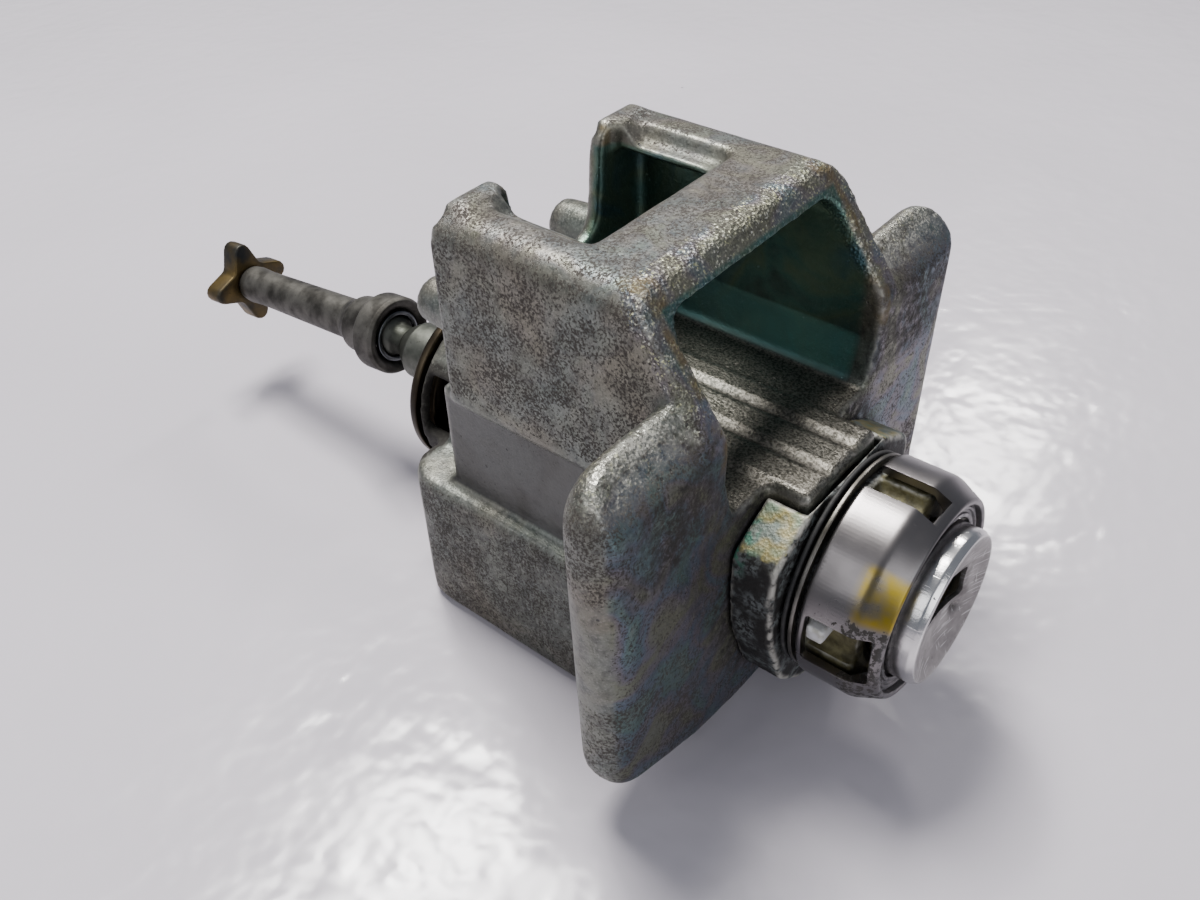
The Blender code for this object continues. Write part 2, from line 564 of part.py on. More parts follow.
def build_shutter(turning):
    """Dust shutter: a sprung flap on its own pin, just behind the face."""
    steel = finish("shutter_steel", (0.30, 0.30, 0.31), 0.4)
    hinge = empty("shutter_hinge", (0.0, SHUTTER_PIN_Y, SHUTTER_PIN_Z), turning)
    knuckle = SHUTTER_PIN_RADIUS + RUNNING
    flap = mesh_object("shutter_flap", rod(knuckle + 0.4, -4.5, 1.6, 'X', segments=16), hinge, steel)
    drop = SHUTTER_PIN_Z + KEYWAY_HEIGHT / 2 + 0.25
    plate = [(-4.5, -drop), (4.5, -drop), (4.5, -1.2), (1.6, -1.2), (1.6, 0.0), (-4.5, 0.0)]
    join(flap, mesh_object("tool_flap_plate", prism(plate, 'XZ', -0.75, -0.3), hinge, cutter=True))
    cut(flap, mesh_object("tool_flap_bore", rod(knuckle, -6.0, 6.0, 'X', segments=16), hinge, cutter=True))
    pin = rod(SHUTTER_PIN_RADIUS, -5.8, 5.8, 'X', (SHUTTER_PIN_Y, SHUTTER_PIN_Z), 12)
    mesh_object("shutter_pin", pin, turning, finish("pin_bright", (0.6, 0.6, 0.6), 0.3))
    spring = coil(0.8, 0.13, 2.0, 0.42, 5, 'X', (0.0, SHUTTER_PIN_Y, SHUTTER_PIN_Z), 10, 5)
    mesh_object("shutter_spring", spring, turning, finish("spring_steel", (0.5, 0.5, 0.5), 0.3))
    return hinge


def build_wafers(turning):
    """Brass wafers, drawn level with the plug, as a matching key holds them."""
    brass = finish("wafer_brass", (0.62, 0.50, 0.24), 0.35)
    steel = finish("wafer_spring_steel", (0.5, 0.5, 0.5), 0.3)
    lean = math.asin(WAFER_HALF_HEIGHT / WAFER_RADIUS)
    right = [-lean + lean * step / 2 for step in range(5)]
    outline = [(WAFER_RADIUS * math.cos(angle), WAFER_RADIUS * math.sin(angle))
               for angle in right + [math.pi + angle for angle in right]]
    half = WAFER_THICKNESS / 2
    for number, y in enumerate(wafer_places(), 1):
        seat = empty(f"wafer_seat_{number}", (0.0, y, 0.0), turning)
        wafer = mesh_object(f"wafer_{number}", prism(outline, 'XZ', -half, half), seat, brass)
        room = WAFER_WINDOW_ROOM
        window = block((-KEYWAY_LENGTH / 2 - room - WAFER_TRAVEL, KEYWAY_LENGTH / 2 + room + WAFER_TRAVEL),
                       (-2.0 * half, 2.0 * half), (-KEYWAY_HEIGHT / 2 - room, KEYWAY_HEIGHT / 2 + room))
        cut(wafer, mesh_object(f"tool_wafer_window_{number}", window, seat, cutter=True))
        spring = coil(0.42, 0.12, -2.2, 0.88, 5, 'X', (0.0, y, 4.55), 8, 4)
        mesh_object(f"wafer_spring_{number}", spring, turning, steel)


def build_plug_clip(turning):
    """Open spring clip in the plug's rear groove."""
    inner = PLUG_TAIL_RADIUS - 0.45
    outer = PLUG_TAIL_RADIUS + 1.7
    clip = mesh_object("plug_clip", turned([(inner, PLUG_REAR + 0.75), (outer, PLUG_REAR + 0.75),
                                            (outer, PLUG_REAR + 1.45), (inner, PLUG_REAR + 1.45)]),
                       turning, finish("clip_steel", (0.2, 0.2, 0.22), 0.4))
    gap = block((-1.4, 1.4), (PLUG_REAR - 1.0, PLUG_REAR + 3.0), (2.0, 8.0))
    cut(clip, mesh_object("tool_clip_gap", gap, turning, cutter=True))


# ---- the driver, its spring and the cover -----------------------------------------------------------
def build_driver(turning):
    """Driver: a disc in the spring chamber, a shaft out of the back, and a ball on its end."""
    front = DRIVER_DISC_FRONT
    neck = BALL_RADIUS - 1.0
    start = 180.0 - math.degrees(math.asin(neck / BALL_RADIUS))
    profile = [(0.0, front), (DRIVER_DISC_RADIUS, front), (DRIVER_DISC_RADIUS, front + 1.6), (5.0, front + 1.6),
               (5.0, front + 5.4), (DRIVER_SHAFT_RADIUS, front + 5.4), (DRIVER_SHAFT_RADIUS, DRIVER_SHAFT_END),
               (neck, DRIVER_SHAFT_END + 1.7)] + arc((0.0, BALL_CENTRE), BALL_RADIUS, start, 0.0, 8)
    driver = mesh_object("driver", turned(profile), turning, finish("driver_zinc", (0.36, 0.36, 0.34), 0.5))
    blade = block((-PLUG_TAIL_RADIUS + 0.6, PLUG_TAIL_RADIUS - 0.6), (front - 2.4, front + 0.5),
                  (-BLADE_HALF, BLADE_HALF))
    join(driver, mesh_object("tool_blade", blade, turning, cutter=True))
    hole = rod(CROSS_PIN_RADIUS + RUNNING + 0.35, -6.0, 6.0, 'X', (BALL_CENTRE, 0.0), 16)
    cut(driver, mesh_object("tool_ball_hole", hole, turning, cutter=True))


def build_return_spring(frame):
    spring = coil(CHAMBER_RADIUS - 1.9, 0.55, DRIVER_DISC_FRONT + 2.5, 1.25, 2.5, per_turn=20)
    mesh_object("return_spring", spring, frame, finish("return_spring_steel", (0.35, 0.35, 0.36), 0.35))


def build_rear_cover(frame):
    """Pressed cover that closes the spring chamber."""
    hole = DRIVER_SHAFT_RADIUS + RUNNING
    start = REAR_BARREL_END + GAP
    profile = [(hole, start - 1.0), (CHAMBER_RADIUS - GAP, start - 1.0), (CHAMBER_RADIUS - GAP, start),
               (REAR_BARREL_RADIUS, start), (REAR_BARREL_RADIUS, start + 0.8),
               (REAR_BARREL_RADIUS - 0.5, start + 1.2), (hole, start + 1.2)]
    mesh_object("rear_cover", turned(profile), frame, finish("cover_steel", (0.24, 0.21, 0.17), 0.5))


# ---- the tail, hung on the ball --------------------------------------------------------------------------
def build_tail(assembly):
    """Tail rod with its ball socket, retaining ring, cross pin and star end."""
    joint = empty("tail_joint", (0.0, BALL_CENTRE, 0.0), assembly, -TAIL_DROOP)
    pin = rod(CROSS_PIN_RADIUS, -CROSS_PIN_HALF, CROSS_PIN_HALF, 'X', segments=14)
    mesh_object("cross_pin", pin, joint, finish("cross_pin_steel", (0.5, 0.5, 0.5), 0.3))

    front = COLLAR_RING_FRONT - BALL_CENTRE
    back = COLLAR_RING_REAR - BALL_CENTRE
    end = ROD_END - BALL_CENTRE
    socket = BALL_RADIUS + GAP + 0.1
    ring = COLLAR_RING_RADIUS
    outside = [(ring - 0.4, front), (ring, front + 0.4), (ring, back - 0.3), (ring - 0.3, back), (3.9, back),
               (3.5, back + 3.6), (3.1, back + 4.4), (ROD_RADIUS + 0.2, back + 5.2), (ROD_RADIUS, end - 4.0),
               (ROD_RADIUS, end), (1.7, end), (1.7, end + STAR_THICKNESS + 0.2), (0.0, end + STAR_THICKNESS + 0.2)]
    inside = arc((0.0, 0.0), socket, 0.0, 100.0, 7) + [(socket + 0.05, -1.35), (ring - 0.7, front)]
    steel = finish("tail_steel", (0.27, 0.27, 0.26), 0.55)
    tail = mesh_object("tail_rod", turned(outside + inside, 32), joint, steel)
    for hand in (-1, 1):
        ends = sorted((hand * (socket - 0.6), hand * (ring - 0.4)))
        hole = rod(CROSS_PIN_RADIUS + RUNNING, *ends, 'X', segments=14)
        cut(tail, mesh_object(f"tool_pin_seat_{hand}", hole, joint, cutter=True))

    keeper = [(socket - 0.35 + 0.30 * math.cos(math.tau * step / 8), -1.62 + 0.22 * math.sin(math.tau * step / 8))
              for step in range(8)]
    mesh_object("ball_keeper", turned(keeper, 32), joint, finish("keeper_steel", (0.55, 0.56, 0.58), 0.25))

    corners = []
    for step in range(2 * STAR_POINTS):
        radius = STAR_ROOT_RADIUS if step % 2 else STAR_RADIUS
        angle = math.pi * step / STAR_POINTS
        corners.append((radius * math.sin(angle), radius * math.cos(angle), 0.5 if step % 2 else 0.8))
    star = mesh_object("star_driver", prism(rounded(corners, 2), 'XZ', end + GAP, end + GAP + STAR_THICKNESS),
                       joint, finish("star_bronze", (0.20, 0.17, 0.08), 0.55))
    hole = rod(1.7 + GAP, end - 1.0, end + STAR_THICKNESS + 2.0, segments=16)
    cut(star, mesh_object("tool_star_hole", hole, joint, cutter=True))


def settle_on_base(assembly):
    """Move the assembly so that the origin is at the middle of its box, on its base."""
    bpy.context.view_layer.update()
    graph = bpy.context.evaluated_depsgraph_get()
    points = []
    for thing in bpy.context.scene.objects:
        if thing.type != 'MESH' or thing.hide_render:
            continue
        shaped = thing.evaluated_get(graph)
        points += [shaped.matrix_world @ corner.co for corner in shaped.data.vertices]
    low = [min(point[axis] for point in points) for axis in range(3)]
    high = [max(point[axis] for point in points) for axis in range(3)]
    assembly.location = (0.0, -(low[1] + high[1]) / 2, -low[2])


def main():
    clear_scene()
    assembly = empty("assembly")
    key_axis = empty("key_axis", parent=assembly)
    driver_axis = empty("driver_axis", parent=assembly)
    build_housing(assembly)
    build_lock_body(assembly)
    build_front_rings(assembly)
    build_front_cap(assembly)
    build_body_pin(assembly)
    build_plug(key_axis)
    build_face(key_axis)
    build_shutter(key_axis)
    build_wafers(key_axis)
    build_plug_clip(key_axis)
    build_driver(driver_axis)
    build_return_spring(assembly)
    build_rear_cover(assembly)
    build_tail(assembly)
    settle_on_base(assembly)


main()
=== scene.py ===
"""Finished look of a vehicle door lock cylinder, built around its packed solid model."""

import math

import bmesh
import bpy
import numpy as np
from mathutils import Matrix, Vector, noise


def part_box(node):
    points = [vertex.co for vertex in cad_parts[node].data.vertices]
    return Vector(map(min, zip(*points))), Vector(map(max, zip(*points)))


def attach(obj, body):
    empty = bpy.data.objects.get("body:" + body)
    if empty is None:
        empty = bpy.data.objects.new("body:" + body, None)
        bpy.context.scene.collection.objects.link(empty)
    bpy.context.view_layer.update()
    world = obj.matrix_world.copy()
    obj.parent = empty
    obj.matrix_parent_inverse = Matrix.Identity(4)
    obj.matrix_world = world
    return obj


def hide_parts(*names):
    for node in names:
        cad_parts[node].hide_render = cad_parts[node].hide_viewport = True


bl_info = {
    "name": "Door Lock Cylinder",
    "version": (1, 0, 0),
    "blender": (4, 5, 0),
    "location": "View3D > Sidebar > Lock",
    "description": "Builds the finished surfaces of a door lock cylinder in its cast housing",
    "category": "Add Mesh",
}

MM = 0.001
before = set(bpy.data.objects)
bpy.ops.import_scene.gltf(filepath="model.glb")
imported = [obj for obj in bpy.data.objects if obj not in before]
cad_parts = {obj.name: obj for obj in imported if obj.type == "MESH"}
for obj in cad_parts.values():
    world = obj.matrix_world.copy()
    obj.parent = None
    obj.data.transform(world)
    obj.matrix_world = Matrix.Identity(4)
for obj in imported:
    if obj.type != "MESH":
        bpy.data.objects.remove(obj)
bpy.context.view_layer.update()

# The lock axis runs along Y. Its height is the middle of the plug, and lengths along it are
# counted from the shoulder of the cap, which stands this far in front of the cap's rear edge.
CAP_SHOULDER_TO_REAR = 5.2
PLUG_LOW, PLUG_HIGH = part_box("plug")
AXIS_HEIGHT = (PLUG_LOW[2] + PLUG_HIGH[2]) / 2
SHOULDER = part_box("front_cap")[1][1] - CAP_SHOULDER_TO_REAR * MM
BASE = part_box("outer_housing")[0][2]
ORIGIN = (0.0, SHOULDER, AXIS_HEIGHT)

# In millimetres, like every size below that is not a setting.
BALL_RADIUS = 2.9
RING_BORE = 10.4
FACE_GAP = 0.35

# In metres: spacing of mesh points, and the floor.
BODY_GRAIN = 0.0003
CAP_EDGE_LENGTH = 0.0006
FACE_EDGE_LENGTH = 0.0005
FLOOR_HALF = 1.6
FLOOR_DROP = 0.0001

# Soft square lamps: name, place, size, power and colour. All of them face one point.
LAMP_AIM = (0.0, 0.0, 0.02)
LAMPS = (
    ("overhead", (0.07, 0.19, 0.58), 0.22, 6.6, (1.0, 0.98, 0.96)),
    ("back_lamp", (0.20, 0.34, 0.67), 0.09, 2.0, (1.0, 0.98, 0.96)),
    ("right_lamp", (0.63, 0.14, 0.50), 0.09, 1.6, (1.0, 0.97, 0.95)),
    ("left_fill", (-0.55, 0.25, 0.40), 0.40, 1.3, (0.97, 0.97, 1.0)),
    ("front_fill", (-0.22, -0.48, 0.30), 0.35, 1.1, (0.96, 0.97, 1.0)),
)
ROOM_COLOUR = (0.80, 0.86, 1.0, 1.0)
ROOM_STRENGTH = 0.25
SPECK = (0.03, 0.026, 0.022)
GREASE = (0.014, 0.013, 0.012)


# ---- settings -------------------------------------------------------------------------------
def length(name, description, default):
    """Length in metres, shown in the scene's unit."""
    return bpy.props.FloatProperty(name=name, description=description, default=default, min=0.0,
                                   unit='LENGTH', precision=5)


def tone(name, description, default):
    """Colour shown as a swatch."""
    return bpy.props.FloatVectorProperty(name=name, description=description, default=default,
                                         subtype='COLOR', min=0.0, max=1.0, size=3)


class CastingSettings(bpy.types.PropertyGroup):
    """Surface of the zinc casting"""
    grain: length("Grain", "Spacing of the points that carry the cast surface", 0.00046)
    relief: length("Relief", "Height of the cast surface's unevenness", 0.00005)
    strip_rise: length("Strip rise", "Height of the strips on the tunnel's floor", 0.0004)
    passes: bpy.props.IntProperty(name="Rounding", description="How far the edges are rounded",
                                  default=4, min=0, max=40)
    light: tone("Light zinc", "Clean zinc", (0.168, 0.166, 0.143))
    dark: tone("Dark zinc", "Dull zinc", (0.078, 0.077, 0.068))


class FrontSettings(bpy.types.PropertyGroup):
    """Plated cap and face of the lock"""
    cap_radius: length("Cap radius", "Outside radius of the plated cap", 0.0115)
    cap_wall: length("Cap wall", "Wall of the plated cap", 0.0009)
    face_radius: length("Face radius", "Outside radius of the dished face", 0.0079)
    dish: length("Dish", "Depth of the dished face at its middle", 0.0016)
    slot_length: length("Slot length", "Length of the key slot", 0.0088)
    slot_height: length("Slot height", "Height of the key slot", 0.0036)
    plating: tone("Plating", "Plated cap", (0.205, 0.192, 0.191))


class TailSettings(bpy.types.PropertyGroup):
    """Driver, tail rod and star end"""
    star_radius: length("Star radius", "Reach of the star's points before they are rounded", 0.0080)
    star_rounding: length("Star rounding", "Radius at the star's points and roots", 0.0012)
    star_root: length("Star root", "Radius between the star's points", 0.0030)
    points: bpy.props.IntProperty(name="Points", description="Points of the star", default=4, min=3, max=8)
    droop: bpy.props.FloatProperty(name="Droop", description="Angle of the tail rod below the lock axis",
                                   default=math.radians(6.3), unit='ROTATION')


class StageSettings(bpy.types.PropertyGroup):
    """Floor, lights and camera"""
    lens: bpy.props.FloatProperty(name="Lens", description="Focal length in millimetres on a 36 mm sensor",
                                  default=34.2, min=10.0)
    camera: bpy.props.FloatVectorProperty(name="Camera", description="Place of the camera", size=3,
                                          default=(-0.07433, -0.07516, 0.09786), subtype='TRANSLATION')
    turn: bpy.props.FloatVectorProperty(name="Turn", description="Rotation of the camera", size=3,
                                        default=(math.radians(50.12), math.radians(1.56),
                                                 math.radians(-50.93)), subtype='EULER')
    floor: tone("Floor", "Floor", (0.51, 0.482, 0.525))


SETTINGS = {"casting": CastingSettings, "front": FrontSettings, "tail": TailSettings, "stage": StageSettings}


def settings(group):
    return getattr(bpy.context.scene, "lock_" + group)


# ---- shapes -----------------------------------------------------------------------------------
def along(y):
    """Place along the lock axis, from millimetres behind the cap's shoulder."""
    return SHOULDER + y * MM


def span(node):
    """Front and rear of a solid node, in millimetres behind the cap's shoulder."""
    return tuple((corner[1] - SHOULDER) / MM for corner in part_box(node))


def rounded(corners, steps=4, closed=True):
    """Outline through (a, b, radius) corners, with an arc at each corner that has a radius."""
    outline = []
    count = len(corners)
    for index, (a, b, radius) in enumerate(corners):
        here = Vector((a, b))
        if radius <= 0.0 or (not closed and index in (0, count - 1)):
            outline.append(here)
            continue
        before = Vector(corners[index - 1][:2]) - here
        after = Vector(corners[(index + 1) % count][:2]) - here
        half = before.angle(after) / 2.0
        reach = min(radius / math.tan(half), 0.48 * before.length, 0.48 * after.length)
        radius = reach * math.tan(half)
        middle = here + (before.normalized() + after.normalized()).normalized() * radius / math.sin(half)
        start = here + before.normalized() * reach - middle
        sweep = start.angle_signed(here + after.normalized() * reach - middle)
        for step in range(steps + 1):
            outline.append(middle + Matrix.Rotation(-sweep * step / steps, 2) @ start)
    return outline


def new_object(name, bm):
    """Object of a bmesh that is already in metres and in place."""
    bmesh.ops.recalc_face_normals(bm, faces=bm.faces)
    mesh = bpy.data.meshes.new(name)
    bm.to_mesh(mesh)
    bm.free()
    mesh.shade_smooth()
    thing = bpy.data.objects.new(name, mesh)
    bpy.context.scene.collection.objects.link(thing)
    return thing


def turned(name, profile, segments=128, centre=None, droop=0.0):
    """Round piece from a closed (radius, y) profile in millimetres, about the lock axis."""
    origin = Vector(ORIGIN) if centre is None else centre
    lean = Matrix.Rotation(-droop, 3, 'X')
    bm = bmesh.new()
    rings = []
    for radius, y in profile:
        spots = [(0.0, y, 0.0)] if radius < 1e-6 else [
            (radius * math.sin(math.tau * step / segments), y, radius * math.cos(math.tau * step / segments))
            for step in range(segments)
        ]
        rings.append([bm.verts.new(origin + lean @ Vector(spot) * MM) for spot in spots])
    for first, second in zip(rings, rings[1:] + rings[:1]):
        if len(first) == 1 and len(second) == 1:
            continue
        for step in range(segments):
            after = (step + 1) % segments
            corners = [first[step % len(first)], first[after % len(first)],
                       second[after % len(second)], second[step % len(second)]]
            bm.faces.new(list(dict.fromkeys(corners)))
    return new_object(name, bm)


def block(name, low, high):
    """Box between two corners, in millimetres from the shoulder on the lock axis."""
    bm = bmesh.new()
    bmesh.ops.create_cube(bm, size=1.0)
    origin = Vector(ORIGIN)
    for vert in bm.verts:
        spot = [low[axis] if vert.co[axis] < 0 else high[axis] for axis in range(3)]
        vert.co = origin + Vector(spot) * MM
    return new_object(name, bm)


def prism(name, corners, sweep):
    """Solid swept from a flat outline of (x, y, z) corners, in millimetres from the lock's origin."""
    bm = bmesh.new()
    face = bm.faces.new([bm.verts.new(Vector(ORIGIN) + Vector(corner) * MM) for corner in corners])
    grown = bmesh.ops.extrude_face_region(bm, geom=[face])
    moved = [item for item in grown["geom"] if isinstance(item, bmesh.types.BMVert)]
    bmesh.ops.translate(bm, vec=tuple(part * MM for part in sweep), verts=moved)
    return new_object(name, bm)


def cut(target, cutters):
    """Add live Booleans that take the cutters out of the target."""
    for cutter in cutters:
        step = target.modifiers.new(cutter.name, 'BOOLEAN')
        step.operation = 'DIFFERENCE'
        step.solver = 'EXACT'
        step.object = cutter


def soften(target, width, segments=2, angle=35.0):
    """Round the edges that are sharper than an angle."""
    step = target.modifiers.new("soft_edges", 'BEVEL')
    step.width = width * MM
    step.segments = segments
    step.limit_method = 'ANGLE'
    step.angle_limit = math.radians(angle)
    step.harden_normals = False


def settle(target, cutters=(), sharp=35.0):
    """Turn an object with live modifiers into a plain mesh, and drop its cutters."""
    graph = bpy.context.evaluated_depsgraph_get()
    mesh = bpy.data.meshes.new_from_object(target.evaluated_get(graph), depsgraph=graph)
    target.modifiers.clear()
    old = target.data
    target.data = mesh
    bpy.data.meshes.remove(old)
    mesh.name = target.name
    mesh.shade_smooth()
    mesh.set_sharp_from_angle(angle=math.radians(sharp))
    for cutter in cutters:
        bpy.data.objects.remove(cutter, do_unlink=True)
    return target


def dress(piece, body, slot, material, *nodes):
    """Give a finished piece its material and body, in place of its solid nodes. The record slot is not used."""
    piece.data.materials.clear()
    piece.data.materials.append(material)
    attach(piece, body)
    if nodes:
        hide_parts(*nodes)


# ---- point attributes that the finishes read -------------------------------------------------------
def ease(value, low, high):
    """Smooth step from 0 at low to 1 at high."""
    part = np.clip((value - low) / (high - low), 0.0, 1.0)
    return part * part * (3.0 - 2.0 * part)


def between(value, low, high, soft):
    """1 between low and high, fading out over soft on each side."""
    return ease(value, low - soft, low) * (1.0 - ease(value, high, high + soft))


def points_of(mesh):
    """Points and normals, in millimetres from the shoulder on the lock axis."""
    spots = np.empty(len(mesh.vertices) * 3)
    mesh.vertices.foreach_get("co", spots)
    normals = np.empty(len(mesh.vertices) * 3)
    mesh.vertices.foreach_get("normal", normals)
    spots = (spots.reshape(-1, 3) - np.array(ORIGIN)) / MM
    return spots, normals.reshape(-1, 3)


def move_points(mesh, spots):
    mesh.vertices.foreach_set("co", (spots * MM + np.array(ORIGIN)).ravel())
    mesh.update()


def keep(mesh, name, values):
    """Store one number at each point."""
    layer = mesh.attributes.new(name, 'FLOAT', 'POINT')
    layer.data.foreach_set("value", values.astype(np.float32))


def unevenness(spots, size, seed):
    """Noise between about -1 and 1, with bumps of a size in millimetres."""
    shift = Vector((seed * 17.3, seed * 5.1, seed * 9.7))
    return np.array([noise.noise(Vector(spot) / size + shift) for spot in spots])


def edge_measure(mesh, passes=2):
    """How far each point stands out of (+) or lies below (-) its neighbours, in edge lengths."""
    spots, normals = points_of(mesh)
    ends = np.empty(len(mesh.edges) * 2, dtype=np.int64)
    mesh.edges.foreach_get("vertices", ends)
    first, second = ends.reshape(-1, 2).T
    count = np.bincount(ends, minlength=len(spots)).astype(float)
    total = np.zeros_like(spots)
    for axis in range(3):
        total[:, axis] = (np.bincount(first, spots[second, axis], len(spots))
                          + np.bincount(second, spots[first, axis], len(spots)))
    size = np.linalg.norm(spots[first] - spots[second], axis=1).mean()
    value = -np.einsum('ij,ij->i', total / count[:, None] - spots, normals) / size
    for _ in range(passes):
        spread = (np.bincount(first, value[second], len(spots)) + np.bincount(second, value[first], len(spots)))
        value = 0.5 * value + 0.5 * spread / count
    return value


# ---- finishes ----------------------------------------------------------------------------------------
class Finish:
    """A material under construction: short calls that add and link its nodes."""

    def __init__(self, name):
        self.material = bpy.data.materials.new(name)
        self.material.use_nodes = True
        self.tree = self.material.node_tree
        self.shader = self.tree.nodes["Principled BSDF"]
        self.coords = self.tree.nodes.new("ShaderNodeTexCoord").outputs["Object"]

    def node(self, kind, values=None, **options):
        made = self.tree.nodes.new(kind)
        for key, value in options.items():
            setattr(made, key, value)
        for key, value in (values or {}).items():
            if isinstance(value, bpy.types.NodeSocket):
                self.tree.links.new(value, made.inputs[key])
            else:
                made.inputs[key].default_value = value
        return made

    def noise(self, scale, detail=3.0, roughness=0.55, coords=None, distortion=0.0):
        """Noise between 0 and 1; scale counts bumps in a metre."""
        values = {"Vector": coords or self.coords, "Scale": scale, "Detail": detail, "Roughness": roughness,
                  "Distortion": distortion}
        return self.node("ShaderNodeTexNoise", values).outputs["Fac"]

    def stretched(self, scale):
        """Object coordinates, stretched by a factor along each axis."""
        return self.node("ShaderNodeMapping", {"Vector": self.coords, "Scale": scale}).outputs["Vector"]

    def cells(self, scale, output="Distance"):
        """Distance to the nearest of scattered points, or the colour of its cell."""
        return self.node("ShaderNodeTexVoronoi", {"Vector": self.coords, "Scale": scale}).outputs[output]

    def kept(self, name):
        """A number stored at the mesh's points."""
        return self.node("ShaderNodeAttribute", attribute_name=name).outputs["Fac"]

    def maths(self, operation, first, second=0.0, clamp=False):
        return self.node("ShaderNodeMath", {0: first, 1: second}, operation=operation,
                         use_clamp=clamp).outputs[0]

    def times(self, first, second):
        return self.maths('MULTIPLY', first, second)

    def most(self, first, second):
        """The larger of two numbers."""
        return self.maths('MAXIMUM', first, second)

    def step(self, value, low, high):
        """Value moved from low..high to 0..1, and held there."""
        values = {"Value": value, "From Min": low, "From Max": high}
        return self.node("ShaderNodeMapRange", values, interpolation_type='SMOOTHSTEP').outputs["Result"]

    def ramp(self, value, stops):
        """Colour band through (place, colour) stops."""
        made = self.node("ShaderNodeValToRGB", {"Fac": value})
        band = made.color_ramp
        while len(band.elements) < len(stops):
            band.elements.new(0.5)
        for element, (place, colour) in zip(band.elements, stops):
            element.position = place
            element.color = (*colour, 1.0)
        return made.outputs["Color"]

    def blend(self, factor, first, second, mode='MIX'):
        made = self.node("ShaderNodeMix", data_type='RGBA', blend_type=mode)
        for socket, value in ((made.inputs[0], factor), (made.inputs[6], first), (made.inputs[7], second)):
            if isinstance(value, bpy.types.NodeSocket):
                self.tree.links.new(value, socket)
            else:
                socket.default_value = value if isinstance(value, float) else (*value, 1.0)
        return made.outputs[2]

    def mix(self, factor, first, second):
        """Blend of two numbers."""
        made = self.node("ShaderNodeMix", {0: factor, 2: first, 3: second}, data_type='FLOAT')
        return made.outputs[0]

    def relief(self, heights):
        """Bumps from (height, strength, depth in metres) layers, one over the other."""
        normal = None
        for height, strength, depth in heights:
            values = {"Height": height, "Strength": strength, "Distance": depth}
            if normal is not None:
                values["Normal"] = normal
            normal = self.node("ShaderNodeBump", values).outputs["Normal"]
        return normal

    def done(self, colour=None, roughness=None, metallic=None, normal=None):
        for key, value in (("Base Color", colour), ("Roughness", roughness), ("Metallic", metallic),
                           ("Normal", normal)):
            if isinstance(value, bpy.types.NodeSocket):
                self.tree.links.new(value, self.shader.inputs[key])
            elif value is not None:
                self.shader.inputs[key].default_value = value if isinstance(value, float) else (*value, 1.0)
        return self.material


def worn_metal(name, light, dark, roughness=(0.3, 0.5), grain=900.0, darkening=0.35, bump=0.00002):
    """Plain metal with soft mottling, fine grain and a little dirt."""
    finish = Finish(name)
    patches = finish.noise(grain * 0.25, 4.0)
    fine = finish.noise(grain * 2.5, 3.0, 0.6)
    specks = finish.step(finish.noise(grain, 5.0, 0.7), 0.62, 0.70)
    colour = finish.blend(finish.step(patches, 0.3, 0.7), dark, light)
    colour = finish.blend(finish.times(specks, darkening), colour, SPECK)
    rough = finish.mix(fine, roughness[0], roughness[1])
    normal = finish.relief([(patches, 0.3, bump * 3.0), (fine, 0.4, bump)])
    return finish.done(colour, rough, 1.0, normal)


